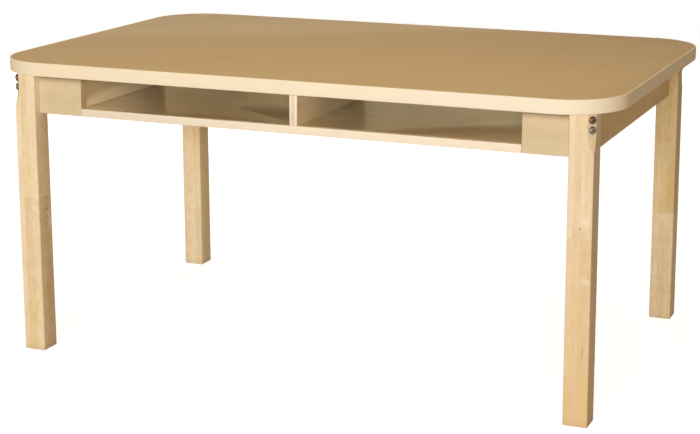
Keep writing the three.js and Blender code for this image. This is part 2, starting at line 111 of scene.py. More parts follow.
POCKET_SCREW = {"diameter": 4 * MM, "length": 38 * MM, "head": 9.4 * MM, "head_height": 2.4 * MM}
SCREW_POINT = 4 * MM
SCREW_SPACING = 20 * MM
POCKET_DIAMETER = 10.4 * MM
POCKET_ANGLE = math.radians(15)
POCKET_SHOULDER = 25 * MM
POCKET_REACH = 40 * MM
POCKET_SPACING_SIDE = 300 * MM
POCKET_SPACING_REAR = 520 * MM
DIVIDER_GROOVE = 4 * MM
DIVIDER_NOSE = 14 * MM
LAMINATE_ARRIS = 0.15 * MM
PLIES = 3
GLUE_LINE = 0.1 * MM
DRY_FIT = 0.3 * MM
OVERRUN = 1 * MM

# The studio: the photograph's camera, the point that the lights face, and the floor

CAMERA_PLACE = (1.26504, -3.02546, 1.08288)
CAMERA_TILT = -0.202
CAMERA_TURN = 0.3846
CAMERA_LENS = 86.26
CAMERA_SHIFT = (-0.0409, -0.11997)
LIGHTS_TARGET = Vector((0, -0.2, 0.35))
FLOOR_SIZE = 60
FLOOR_GLOW_NEAR = 0.86
FLOOR_GLOW_FAR = 1.0

# Places of the Mix node's colour sockets

MIX_FIRST = 6
MIX_SECOND = 7
MIX_RESULT = 2


def size_of(node):
    low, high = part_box(node)
    return high - low


def middle_of(node):
    low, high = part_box(node)
    return (low + high) / 2


# Sizes and colours that a user would change


def length(name, description, default):
    return FloatProperty(name=name, description=description, default=default, unit="LENGTH", precision=4)


def colour(name, description, default):
    return FloatVectorProperty(
        name=name, description=description, default=default, subtype="COLOR", size=3, min=0, max=1
    )


class DeskSizes(PropertyGroup):
    """Radii, widths and lengths that the frame doesn't give."""

    corner_radius: length("Corner radius", "Radius of the top's corners", 110 * MM)
    band_thickness: length("Band thickness", "Thickness of the edge band", 3 * MM)
    band_easing: length("Band easing", "Radius along both arrises of the edge band", 1.5 * MM)
    leg_easing: length("Leg easing", "Radius along the leg's arrises", 2.5 * MM)
    foot_easing: length("Foot easing", "Radius round the leg's foot", 1.5 * MM)
    chamfer: length("Chamfer", "Width of the leg's stopped chamfer on each face", 11 * MM)
    chamfer_length: length("Chamfer length", "Length of the chamfer at its full depth", 39 * MM)
    cutter_radius: length("Cutter radius", "Radius of the chamfer's run-out", 60 * MM)
    bolt: length("Bolt", "Diameter of the leg bolts", 7.94 * MM)
    bolt_head: length("Bolt head", "Diameter of the leg bolts' button heads", 13.9 * MM)
    apron_easing: length("Apron easing", "Radius along the aprons' lower arrises", 2 * MM)
    end_easing: length("Front apron end", "Radius where a front apron meets its compartment", 3 * MM)
    arris: length("Arris", "Width of the sanded edge on the boards", 0.45 * MM)


class DeskColours(PropertyGroup):
    """The tones that the desk's finishes are mixed from."""

    laminate: colour("Laminate", "Ground of the top's laminate", (0.62, 0.457, 0.243))
    band: colour("Edge band", "Cream of the edge band", (0.925, 0.783, 0.57))
    # Painted highlight: the cream that the edge band is made paler with towards its right-hand end.
    band_painted_highlight: colour("Pale edge band", "Cream that the front of the edge band fades to", (0.93, 0.825, 0.65))
    maple_light: colour("Light maple", "Sapwood of the legs", (0.94, 0.74, 0.51))
    maple_dark: colour("Dark maple", "Growth lines and figure in the legs", (0.73, 0.5, 0.275))
    apron_light: colour("Light apron", "Ground of the front and rear aprons", (0.725, 0.587, 0.38))
    apron_dark: colour("Dark apron", "Figure in the front and rear aprons", (0.61, 0.46, 0.275))
    # The side aprons are the same wood as the front and rear ones, mixed warmer: painted shade, standing in
    # for the warm shade on the desk's sides.
    side_apron_light: colour("Light side apron", "Ground of the side aprons", (0.81, 0.585, 0.3))
    side_apron_dark: colour("Dark side apron", "Figure in the side aprons", (0.61, 0.4, 0.18))
    birch_light: colour("Light birch", "Ground of the plywood", (0.72, 0.585, 0.37))
    birch_dark: colour("Dark birch", "Figure in the plywood", (0.545, 0.4, 0.21))
    lipping: colour("Lipping", "Front edge of the shelf and divider", (0.93, 0.803, 0.635))
    backer: colour("Backing sheet", "Underside of the top", (0.76, 0.63, 0.45))
    # Painted light: the paler tone laid on the compartments' ceiling, which lies in shade.
    backer_painted_light: colour("Pale backing sheet", "Ceiling of the compartments", (0.97, 0.88, 0.72))
    black_steel: colour("Black steel", "Oxide on the leg bolts", (0.07, 0.035, 0.021))
    zinc: colour("Zinc", "Plate on the braces, nuts and screws", (0.62, 0.63, 0.64))


class StudioSettings(PropertyGroup):
    """How strong each light is."""

    key: FloatProperty(name="Key light", description="Level of the light by the camera", default=0.8)
    left: FloatProperty(name="Left light", description="Level of the light on the left", default=0.08)
    right: FloatProperty(name="Right light", description="Level of the light on the right", default=0.07)
    overhead: FloatProperty(name="Overhead light", description="Level of the light above", default=0.48)
    back: FloatProperty(name="Back light", description="Level of the light behind the desk", default=0.8)
    ambient: FloatProperty(name="Ambient", description="Level of the light from all round", default=0.055)


# Modelling by operators


def deselect_all():
    active = bpy.context.view_layer.objects.active
    if active and active.mode != "OBJECT":
        bpy.ops.object.mode_set(mode="OBJECT")
    bpy.ops.object.select_all(action="DESELECT")


def make_active(piece):
    deselect_all()
    piece.select_set(True)
    bpy.context.view_layer.objects.active = piece


def settle(piece):
    """Puts the piece's place into its mesh, so that its object sits at the origin."""
    make_active(piece)
    bpy.ops.object.transform_apply(location=True, rotation=True, scale=True)
    return piece


def new_piece(name):
    piece = bpy.context.view_layer.objects.active
    piece.name = name
    return piece


def discard(piece):
    mesh = piece.data
    bpy.data.objects.remove(piece)
    bpy.data.meshes.remove(mesh)


def add_block(name, low, high):
    """A block between two corners."""
    low, high = Vector(low), Vector(high)
    deselect_all()
    bpy.ops.mesh.primitive_cube_add(size=1, location=(low + high) / 2)
    piece = new_piece(name)
    piece.scale = high - low
    return settle(piece)


def add_rod(name, radius, start, end, sides=48):
    """A round rod from one point to another."""
    start, end = Vector(start), Vector(end)
    axis = end - start
    deselect_all()
    bpy.ops.mesh.primitive_cylinder_add(
        vertices=sides,
        radius=radius,
        depth=axis.length,
        location=(start + end) / 2,
        rotation=axis.to_track_quat("Z", "Y").to_euler(),
    )
    return settle(new_piece(name))


def edit(piece):
    """Opens the piece in edit mode with nothing selected, and gives its mesh."""
    make_active(piece)
    bpy.ops.object.mode_set(mode="EDIT")
    bpy.ops.mesh.select_all(action="DESELECT")
    return bmesh.from_edit_mesh(piece.data)


def leave_edit():
    bpy.ops.object.mode_set(mode="OBJECT")


def select_edges(piece, wanted):
    """Selects the edges whose two ends pass the test, in edge mode."""
    mesh = edit(piece)
    bpy.ops.mesh.select_mode(type="EDGE")
    for edge in mesh.edges:
        if wanted(edge.verts[0].co, edge.verts[1].co):
            edge.select_set(True)
    bmesh.update_edit_mesh(piece.data)


def stands_at(corner):
    """A test that picks the edges standing upright at a corner."""
    return lambda a, b: all((end.xy - corner.xy).length < HAIR for end in (a, b))


def select_faces(piece, wanted):
    """Selects the faces whose middle and normal pass the test, in face mode."""
    mesh = edit(piece)
    bpy.ops.mesh.select_mode(type="FACE")
    for face in mesh.faces:
        if wanted(face.calc_center_median(), face.normal):
            face.select_set(True)
    bmesh.update_edit_mesh(piece.data)


def face_outwards(piece):
    edit(piece)
    bpy.ops.mesh.select_all(action="SELECT")
    bpy.ops.mesh.remove_doubles(threshold=HAIR / 10)
    bpy.ops.mesh.normals_make_consistent(inside=False)
    leave_edit()
    return piece


def round_edges(piece, wanted, radius, segments):
    select_edges(piece, wanted)
    bpy.ops.mesh.bevel(offset=radius, offset_type="OFFSET", segments=segments, affect="EDGES")
    leave_edit()
    return piece


def turned(name, profile, sides):
    """A turned piece about +Z: a disc drawn up ring by ring through (radius, level) pairs."""
    deselect_all()
    bpy.ops.mesh.primitive_circle_add(
        vertices=sides, radius=profile[0][0], fill_type="NGON", location=UP * profile[0][1]
    )
    piece = settle(new_piece(name))
    edit(piece)
    bpy.ops.mesh.select_mode(type="FACE")
    bpy.ops.mesh.select_all(action="SELECT")
    for (radius, level), (next_radius, next_level) in zip(profile, profile[1:]):
        rise = {"value": (0, 0, next_level - level)}
        bpy.ops.mesh.extrude_region_move(TRANSFORM_OT_translate=rise)
        if next_radius == 0:
            bpy.ops.mesh.merge(type="COLLAPSE")
        else:
            share = next_radius / radius
            bpy.ops.transform.resize(value=(share, share, 1), center_override=(0, 0, next_level))
    leave_edit()
    return face_outwards(piece)


def apply_modifier(piece, kind, **settings):
    make_active(piece)
    modifier = piece.modifiers.new(kind.title(), kind)
    for name, value in settings.items():
        setattr(modifier, name, value)
    bpy.ops.object.modifier_apply(modifier=modifier.name)
    return piece


def cut_away(piece, *cutters):
    """Cuts each cutter out of the piece and throws it away."""
    for cutter in cutters:
        apply_modifier(piece, "BOOLEAN", operation="DIFFERENCE", solver="EXACT", object=cutter)
        discard(cutter)
    return piece


def keep_common(piece, other):
    apply_modifier(piece, "BOOLEAN", operation="INTERSECT", solver="EXACT", object=other)
    discard(other)
    return piece


def soften(piece, width, segments=2, angle=35):
    """Takes the sharpness off every edge that turns more than the angle."""
    return apply_modifier(
        piece,
        "BEVEL",
        width=width,
        segments=segments,
        limit_method="ANGLE",
        angle_limit=math.radians(angle),
        miter_outer="MITER_ARC",
    )


def smooth(piece, angle=30):
    make_active(piece)
    bpy.ops.object.shade_smooth_by_angle(angle=math.radians(angle))
    return piece


def copy_of(piece, name):
    """A copy with a mesh of its own."""
    made = piece.copy()
    made.data = piece.data.copy()
    made.name = name
    bpy.context.scene.collection.objects.link(made)
    return made


def place(piece, matrix):
    piece.matrix_world = matrix
    return settle(piece)


def give_finish(piece, finish):
    piece.data.materials.clear()
    piece.data.materials.append(finish)


def hand_over(piece, node, finish, slot):
    """Gives a finished piece its material and its body, and hides the node that it stands for."""
    give_finish(piece, finish)
    piece.data.name = piece.name
    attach(piece, "root")
    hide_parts(node)


# Node materials


class Field:
    """A value or vector in a material's node tree. Arithmetic on it adds Math nodes."""

    def __init__(self, finish, socket):
        self.finish = finish
        self.socket = socket

    def math(self, operation, *values):
        return self.finish.node("ShaderNodeMath", {"operation": operation}, dict(enumerate(values)))

    def __add__(self, other):
        return self.math("ADD", self, other)

    def __radd__(self, other):
        return self.math("ADD", other, self)

    def __sub__(self, other):
        return self.math("SUBTRACT", self, other)

    def __rsub__(self, other):
        return self.math("SUBTRACT", other, self)

    def __mul__(self, other):
        return self.math("MULTIPLY", self, other)

    def __rmul__(self, other):
        return self.math("MULTIPLY", other, self)

    def __truediv__(self, other):
        return self.math("DIVIDE", self, other)

    def __pow__(self, other):
        return self.math("POWER", self, other)

    def __gt__(self, other):
        return self.math("GREATER_THAN", self, other)

    def __abs__(self):
        return self.math("ABSOLUTE", self)

    def floor(self):
        return self.math("FLOOR", self)

    def fraction(self):
        return self.math("FRACT", self)

    def root(self):
        return self.math("SQRT", self)

    def ramp(self, low, high):
        """0 below low and 1 above high, smooth between them. High may be the lower of the two."""
        if low > high:
            return 1 - self.ramp(high, low)
        return self.finish.node(
            "ShaderNodeMapRange",
            {"interpolation_type": "SMOOTHSTEP"},
            {"Value": self, "From Min": low, "From Max": high},
        )


class Finish:
    """A material and its node tree."""

    def __init__(self, name):
        self.material = bpy.data.materials.new(name)
        self.material.use_nodes = True
        self.tree = self.material.node_tree
        self.tree.nodes.clear()

    def node(self, kind, settings=None, values=None, output=0):
        """Adds a node: its settings first, then the values or links of its sockets."""
        made = self.tree.nodes.new(kind)
        for name, value in (settings or {}).items():
            setattr(made, name, value)
        for name, value in (values or {}).items():
            if isinstance(value, Field):
                self.tree.links.new(value.socket, made.inputs[name])
            else:
                made.inputs[name].default_value = value
        return Field(self, made.outputs[output]) if made.outputs else None

    def place(self):
        return self.node("ShaderNodeTexCoord", output="Object")

    def normal(self):
        """The three components of the surface's normal."""
        return self.parts(self.node("ShaderNodeTexCoord", output="Normal"))

    def parts(self, vector):
        first = self.node("ShaderNodeSeparateXYZ", values={"Vector": vector})
        return [Field(self, socket) for socket in first.socket.node.outputs]

    def vector(self, x, y, z):
        return self.node("ShaderNodeCombineXYZ", values={"X": x, "Y": y, "Z": z})

    def noise(self, vector, detail=2.0, rough=0.5, distortion=0.0):
        """Smooth noise from 0 to 1, one cell for each unit of the vector."""
        return self.node(
            "ShaderNodeTexNoise",
            values={
                "Vector": vector,
                "Scale": 1.0,
                "Detail": detail,
                "Roughness": rough,
                "Distortion": distortion,
            },
        )

    def cells(self, vector, output="Distance"):
        return self.node("ShaderNodeTexVoronoi", values={"Vector": vector, "Scale": 1.0}, output=output)

    def chance(self, value):
        """A random number from 0 to 1 for each whole value."""
        return self.node("ShaderNodeTexWhiteNoise", {"noise_dimensions": "1D"}, {"W": value})

    def distance(self, point, size=(1, 1, 1)):
        """How far the surface is from a point, in shares of a size along each axis."""
        offset = self.node(
            "ShaderNodeVectorMath", {"operation": "SUBTRACT"}, {0: self.place(), 1: tuple(point)}
        )
        share = self.node("ShaderNodeVectorMath", {"operation": "DIVIDE"}, {0: offset, 1: size})
        return self.node("ShaderNodeVectorMath", {"operation": "LENGTH"}, {0: share}, "Value")

    def mix(self, factor, first, second, blend="MIX"):
        """A colour between two. Plain tuples are colours."""
        first, second = (value if isinstance(value, Field) else (*value, 1) for value in (first, second))
        settings = {"data_type": "RGBA", "blend_type": blend}
        values = {0: factor, MIX_FIRST: first, MIX_SECOND: second}
        return self.node("ShaderNodeMix", settings, values, MIX_RESULT)

    def surface(self, constants, fields, height=None, relief=0.1 * MM, bump=0.5):
        """Ends the tree in a Principled shader. Height is the relief's field, from 0 to 1."""
        values = {**constants, **fields}
        if height is not None:
            values["Normal"] = self.node(
                "ShaderNodeBump", values={"Strength": bump, "Distance": relief, "Height": height}
            )
        shader = self.node("ShaderNodeBsdfPrincipled", values=values)
        self.node("ShaderNodeOutputMaterial", values={"Surface": shader})
        return self.material


def shade(tone, share):
    """A tone made lighter or darker, by one share or by one for each of its three parts."""
    shares = share if isinstance(share, tuple) else (share,) * 3
    return tuple(min(1, part * value) for part, value in zip(shares, tone))


def grain_frame(finish, centre, along):
    """The place from a centre: two distances across the grain, then the one along it."""
    offset = finish.node(
        "ShaderNodeVectorMath", {"operation": "SUBTRACT"}, {0: finish.place(), 1: tuple(centre)}
    )
    parts = finish.parts(offset)
    return [parts[i] for i in range(3) if i != AXES[along]] + [parts[AXES[along]]]


def figure(finish, across, depth, along, seed, ring=3.6 * MM, reach=90 * MM):
    """How dark the wood is, from 0 to 1, its fine fibre and its vessel lines."""
    sway = (finish.noise(finish.vector(across * 9 + seed, depth * 9, along * 2.4), 1) - 0.5) * (14 * MM)
    swayed = across + sway
    tone = finish.noise(finish.vector(swayed * 34, depth * 34 + seed, along * 2.6 + seed), 3, 0.5)
    streak = finish.noise(finish.vector(swayed * 190 + seed, depth * 190, along * 4.2), 3, 0.6)
    fibre = finish.noise(finish.vector(swayed * 800 + seed, depth * 800, along * 22), 3, 0.6)
    from_pith = swayed + along * 0.035 + reach * 0.6
    turn = ((from_pith ** 2 + (depth + reach) ** 2).root() / ring).fraction()
    late_wood = turn.ramp(0.35, 0.9) * turn.ramp(1, 0.94)
    mottle = finish.noise(finish.vector(across * 70, depth * 70 + seed, along * 60 + seed), 2, 0.6)
    cell = finish.cells(finish.vector(across * 1100 + seed, depth * 1100, along * 160))
    vessel = cell.ramp(0.28, 0.08)
    dark = 0.46 * tone.ramp(0.3, 0.74) + 0.14 * streak.ramp(0.32, 0.78) + 0.06 * late_wood
    dark = dark + 0.2 * (fibre - 0.5) + 0.5 * (mottle - 0.5) + 0.08 * vessel
    return dark, fibre, vessel


def mark_wood(finish, body, tones, marks):
    """Knots and pale patches: each mark's kind, its place, its size along each axis and its strength."""
    for kind, point, size, strength in marks:
        gap = finish.distance(point, size)
        halo, core = tones[kind]
        body = finish.mix(gap.ramp(2.6, 0.8) * 0.35 * strength, body, halo)
        body = finish.mix(gap.ramp(1, 0.35) * 0.85 * strength, body, core)
    return body


def maple(name, centre, colours, boards):
    """Lacquered maple for one leg, glued up from strips side by side and end to end.

    boards gives the leg's own wood: its seed, its tone (tint), how golden it is in patches (gold)
    and towards its foot (mellow), how much darker its upper half is (rise, a painted shade standing in for
    the shadow under the top), its glue lines' places across X, its finger joints' heights, and its marks.
    Each line and joint comes with how much darker the wood beyond it is.
    """
    finish = Finish(name)
    seed = boards["seed"]
    light = shade(colours.maple_light, boards["tint"])
    deep = shade(colours.maple_dark, boards["tint"])
    across, depth, along = grain_frame(finish, centre, "Z")
    level = along + centre.z
    cut = level + abs((depth / (5 * MM)).fraction() - 0.5) * (7 * MM)
    beyond = [(across > line, step) for line, step in boards["strips"]]
    beyond += [(cut > height, step) for height, step in boards["joints"]]
    board = sum(mask * (3.7 + 2.9 * i) for i, (mask, step) in enumerate(beyond)) + seed
    dark, fibre, vessel = figure(finish, across, depth, along, board)
    sway = (finish.noise(finish.vector(across * 40, depth * 40, along * 14 + board), 2) - 0.5) * (6 * MM)
    dash = finish.noise(finish.vector((across + sway) * 420, depth * 420, along * 13 + board), 2, 0.6)
    flame = finish.noise(finish.vector(across * 62 + board, depth * 62, along * 44), 3, 0.6, 0.8)
    dark = dark + 0.26 * dash.ramp(0.55, 0.78) + 0.85 * (flame - 0.5)
    steps = sum(mask * step for mask, step in beyond)
    # rise is painted shade: the leg is darkened from 150 mm up, as if in the shadow under the top.
    dark = dark + steps + level.ramp(150 * MM, 420 * MM) * boards["rise"]
    glue = sum(abs(across - line).ramp(0.5 * MM, 0.1 * MM) for line, step in boards["strips"])
    glue = glue + sum(abs(cut - height).ramp(0.7 * MM, 0.1 * MM) for height, step in boards["joints"])
    body = finish.mix(dark + 0.14 * glue, light, deep)
    gold = finish.noise(finish.vector(across * 30, depth * 30 + board, along * 7), 2, 0.6).ramp(0.4, 0.62)
    body = finish.mix(gold * boards["gold"] + 2.2 * steps, body, (0.975, 0.985, 0.8), "MULTIPLY")
    honey = level.ramp(500 * MM, 60 * MM) * (1 + 3 * steps) * boards["mellow"]
    body = finish.mix(honey, body, (1.18 * deep[0], 1.18 * deep[1], 1.1 * deep[2]))
    end = abs(finish.normal()[2]).ramp(0.75, 0.95)
    body = finish.mix(end * 0.45, body, shade(deep, 0.72))
    tones = {"knot": (deep, (0.36, 0.17, 0.07)), "pale": ((1, 0.88, 0.68), (1, 0.9, 0.74))}
    body = mark_wood(finish, body, tones, boards["marks"])
    scuff = level.ramp(16 * MM, 0) * (0.35 + 0.5 * fibre)
    body = finish.mix(scuff * 0.3, body, (0.33, 0.25, 0.16))
    rough = 0.44 + 0.1 * (fibre - 0.5) + 0.12 * end + 0.1 * scuff
    height = 0.5 + 0.25 * (fibre - 0.5) - 0.4 * vessel - 0.25 * glue
    return finish.surface({"Specular IOR Level": 0.012}, {"Base Color": body, "Roughness": rough}, height)


def solid_wood(node, light, deep, seed, along, end_tone):
    """Lacquered solid wood for an apron, sawn from one board, with a painted shadow under the top."""
    finish = Finish(f"wood_{node}")
    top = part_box(node)[1].z
    across, depth, run = grain_frame(finish, middle_of(node), along)
    dark, fibre, vessel = figure(finish, across, depth, run, seed, ring=4.4 * MM, reach=60 * MM)
    body = finish.mix(dark, light, deep)
    end = abs(finish.normal()[AXES[along]]).ramp(0.75, 0.95)
    body = finish.mix(end * 0.75, body, end_tone)
    level = finish.parts(finish.place())[2]
    # Painted shadow: the apron darkens towards its top edge, where the top's overhang shades it.
    dust_and_painted_shadow = level.ramp(top - 27 * MM, top - 8 * MM)
    body = finish.mix(0.64 * dust_and_painted_shadow ** 2, body, shade(deep, 0.25))
    rough = 0.45 + 0.1 * (fibre - 0.5) + 0.15 * end
    height = 0.5 + 0.25 * (fibre - 0.5) - 0.4 * vessel
    return finish.surface({"Specular IOR Level": 0.012}, {"Base Color": body, "Roughness": rough}, height)


def plywood(
    name, node, colours, seed, layers, along, tint=1.0, drift_and_painted_light=0.0, lipped=False, coat=0.0, chips=()
):
    """Lacquered plywood. layers is the axis across the plies and along the axis of the face grain.

    drift is how much paler the face grows over a metre along its grain; on the walls and the divider it is
    painted light, paler deeper in the compartments, where shade falls. A lipped board has solid wood on its
    edge, which hides the plies. coat is how much lacquer the faces have. chips are small marks and wide soft
    patches, each with its place, its size along each axis and its colour; the wide patches are painted light
    and shade.
    """
    finish = Finish(name)
    across, depth, run = grain_frame(finish, middle_of(node), along)
    if [axis for axis in "XYZ" if axis != along][0] == layers:
        across, depth = depth, across
    dark, fibre, vessel = figure(finish, across, depth, run, seed, ring=9 * MM, reach=25 * MM)
    # The drift makes the face paler along its grain; on the walls and the divider this is painted light for
    # their shaded back parts.
    face = finish.mix(dark - drift_and_painted_light * run, shade(colours.birch_light, tint), shade(colours.birch_dark, tint))
    streak = finish.noise(finish.vector(across * 300, depth * 2600, run * 300 + seed))
    if lipped:
        edge_dark = 0.35 * dark + 0.2 * (streak - 0.5) + 0.3 * run.ramp(50 * MM, -350 * MM)
        edge = finish.mix(edge_dark, colours.lipping, shade(colours.lipping, 0.8))
        hollow = 0
    else:
        level = (depth / size_of(node)[AXES[layers]] + 0.5) * PLIES
        sheet = level.floor()
        cross = (sheet / 2).fraction() * 2
        seam = abs(level.fraction() - 0.5).ramp(0.4, 0.49)
        gap = finish.noise(finish.vector(across * 70 + seed, sheet * 3.7, run * 70), 0.0)
        gap = gap.ramp(0.82, 0.88) * cross
        edge_dark = 0.35 * cross + 0.3 * seam + 0.4 * (streak - 0.5)
        edge = finish.mix(edge_dark, colours.lipping, shade(colours.birch_dark, 0.9))
        edge = finish.mix(gap * 0.8, edge, (0.09, 0.055, 0.03))
        hollow = 0.4 * seam + 0.6 * gap
    on_edge = abs(finish.normal()[AXES[layers]]).ramp(0.8, 0.6)
    body = finish.mix(on_edge, face, edge)
    # chips: small marks, and wide soft patches of painted light and painted shade.
    for point, size, tone in chips:
        body = finish.mix(finish.distance(point, size).ramp(1, 0.5) * 0.8, body, tone)
    rough = 0.42 + 0.08 * (fibre - 0.5) + on_edge * 0.1
    height = 0.5 + (0.2 * (fibre - 0.5) - 0.3 * vessel) * (1 - on_edge) - hollow * on_edge
    return finish.surface(
        {"Specular IOR Level": 0.2, "Coat Roughness": 0.09, "Coat IOR": 1.8},
        {"Base Color": body, "Roughness": rough, "Coat Weight": coat * (1 - on_edge)},
        height,
        relief=0.08 * MM,
        bump=0.3,
    )


def laminate_finish(colours):
    """Satin laminate with a faint lengthwise print and a fine pebble."""
    finish = Finish("laminate_satin")
    x, y, z = finish.parts(finish.place())
    sway = finish.noise(finish.vector(x * 3, y * 7, z)) - 0.5
    streak = finish.noise(finish.vector(x * 5, (y + sway * (20 * MM)) * 120, 3.0), 3, 0.6)
    cloud = finish.noise(finish.vector(x * 2.2, y * 4.5, 7.0), 3, 0.55)
    fleck = finish.noise(finish.vector(x * 260, y * 1300, 1.0), 1)
    dark = 0.5 * streak + 0.35 * cloud + 0.25 * fleck
    body = finish.mix(dark, shade(colours.laminate, 1.07), shade(colours.laminate, 0.9))
    pebble = finish.noise(finish.vector(x * 1700, y * 1700, 0.0), 2, 0.6)
    smear = finish.noise(finish.vector(x * 14, y * 19, 5.0), 3, 0.6, 0.6)
    rough = 0.6 + 0.05 * (pebble - 0.5) + 0.1 * (smear - 0.5)
    fields = {"Base Color": body, "Roughness": rough}
    return finish.surface({"Specular IOR Level": 0.06}, fields, pebble, relief=0.04 * MM, bump=0.3)


def band_finish(colours):
    """Extruded edge band: a cream with drawn lines along its length and small scuffs, and a painted
    highlight.
    """
    finish = Finish("edge_band_satin")
    x, y, z = finish.parts(finish.place())
    drawn = finish.noise(finish.vector(x * 7, y * 7, z * 1900), 2, 0.55)
    cloud = finish.noise(finish.vector(x * 6, y * 6, z * 40))
    scuff = finish.noise(finish.vector(x * 130, y * 130, z * 420), 3, 0.7).ramp(0.66, 0.78)
    body = finish.mix(0.5 * drawn + 0.5 * cloud, shade(colours.band, 1.04), shade(colours.band, 0.95))
    # Painted highlight: the band grows paler from left to right and fades back at the right-hand end.
    body = finish.mix(0.9 * x.ramp(-0.6, 0.48) * x.ramp(0.605, 0.5), body, colours.band_painted_highlight)
    body = finish.mix(scuff * 0.16, body, shade(colours.band, 0.6))
    rough = 0.55 + 0.1 * (drawn - 0.5) + 0.14 * scuff
    height = 0.5 + 0.35 * (drawn - 0.5) - 0.4 * scuff
    fields = {"Base Color": body, "Roughness": rough}
    return finish.surface({"Specular IOR Level": 0.015}, fields, height, relief=0.06 * MM, bump=0.3)


def board_core_finish(colours):
    """Raw particle board: pressed chips of several tones."""
    finish = Finish("particle_board")
    x, y, z = finish.parts(finish.place())
    chip = finish.parts(finish.cells(finish.vector(x * 330, y * 330, z * 900), "Color"))[0]
    dust_and_painted_shadow = finish.noise(finish.vector(x * 1500, y * 1500, z * 1500))
    tone = colours.birch_dark
    body = finish.mix(0.7 * chip + 0.3 * dust_and_painted_shadow, shade(tone, 1.1), shade(tone, 0.5))
    return finish.surface({}, {"Base Color": body, "Roughness": 0.85 + 0.1 * dust_and_painted_shadow}, chip, relief=0.2 * MM)


def backer_finish(colours):
    """Tan backing sheet with a fine paper mottle, and painted light over the compartments, where their
    ceiling lies in shade.
    """
    finish = Finish("backing_sheet")
    x, y, z = finish.parts(finish.place())
    mottle = finish.noise(finish.vector(x * 55, y * 55, z), 4, 0.65)
    sanded = finish.noise(finish.vector(x * 22, y * 950, z))
    body = finish.mix(0.6 * mottle + 0.4 * sanded, shade(colours.backer, 1.1), shade(colours.backer, 0.86))
    left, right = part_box("compartment_wall_left")[1].x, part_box("compartment_wall_right")[0].x
    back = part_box("compartment_back")[0].y
    fade = 4 * MM
    # Painted light: the sheet is made paler over the compartments, where it is in shade.
    painted_light_mask = x.ramp(left, left + fade) * x.ramp(right, right - fade) * y.ramp(back, back - fade)
    body = finish.mix(0.9 * painted_light_mask, body, colours.backer_painted_light)
    fields = {"Base Color": body, "Roughness": 0.62 + 0.12 * (mottle - 0.5)}
    return finish.surface({}, fields, sanded, relief=0.05 * MM, bump=0.2)


def black_steel_finish(colours, upper_row, lower_row):
    """Black oxide on steel, rubbed brown where tools touch it and greyer on the lower row of bolts."""
    finish = Finish("black_oxide_steel")
    x, y, z = finish.parts(finish.place())
    blotch = finish.noise(finish.vector(x * 420, y * 420, z * 420), 3, 0.6)
    rub = finish.noise(finish.vector(x * 1500, y * 1500, z * 1500)).ramp(0.56, 0.7)
    body = finish.mix(blotch, colours.black_steel, shade(colours.black_steel, 2.2))
    body = finish.mix(rub * 0.35, body, (0.3, 0.24, 0.19))
    # Greyer towards the lower row of bolts.
    lower_row_grey = z.ramp(upper_row, lower_row) * (0.55 + 0.9 * (blotch - 0.5))
    body = finish.mix(lower_row_grey, body, (0.2, 0.205, 0.17))
    rough = 0.26 + 0.2 * blotch - 0.08 * rub
    constants = {"Metallic": 0.9, "Coat Weight": 0.35, "Coat Roughness": 0.15, "Coat IOR": 1.6}
    fields = {"Base Color": body, "Roughness": rough}
    return finish.surface(constants, fields, blotch, relief=0.05 * MM, bump=0.2)


def zinc_finish(colours):
    """Zinc plate with a soft crystal bloom, drawn lines and light stains."""
    finish = Finish("zinc_plate")
    x, y, z = finish.parts(finish.place())
    bloom = finish.parts(finish.cells(finish.vector(x * 260, y * 260, z * 260), "Color"))[0]
    drawn = finish.noise(finish.vector(x * 60, y * 60, z * 2400))
    stain = finish.noise(finish.vector(x * 70, y * 70, z * 70), 3, 0.6).ramp(0.55, 0.8)
    body = finish.mix(0.5 * bloom + 0.5 * drawn, colours.zinc, shade(colours.zinc, 0.78))
    body = finish.mix(stain * 0.3, body, (0.5, 0.44, 0.32))
    fields = {"Base Color": body, "Roughness": 0.3 + 0.12 * bloom + 0.12 * stain}
    return finish.surface({"Metallic": 1.0}, fields, drawn, relief=0.04 * MM, bump=0.15)


# The corner joint's own frame: its origin is the leg's outer arris on the floor, with +X and +Y running
# inwards along the two aprons. Quarter turns take it to each corner.


def corner_matrix(corner):
    low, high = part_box(f"leg_{corner}")
    outer = Vector((low.x if low.x < 0 else high.x, low.y if low.y < 0 else high.y, 0))
    return Matrix.Translation(outer) @ Matrix.Rotation(CORNERS.index(corner) * math.pi / 2, 4, "Z")


def turned_axis(corner, axis):
    """The desk's axis that a corner's own X or Y lies along, and the same the other way round."""
    swapped = {"X": "Y", "Y": "X"}
    return swapped[axis] if CORNERS.index(corner) % 2 else axis


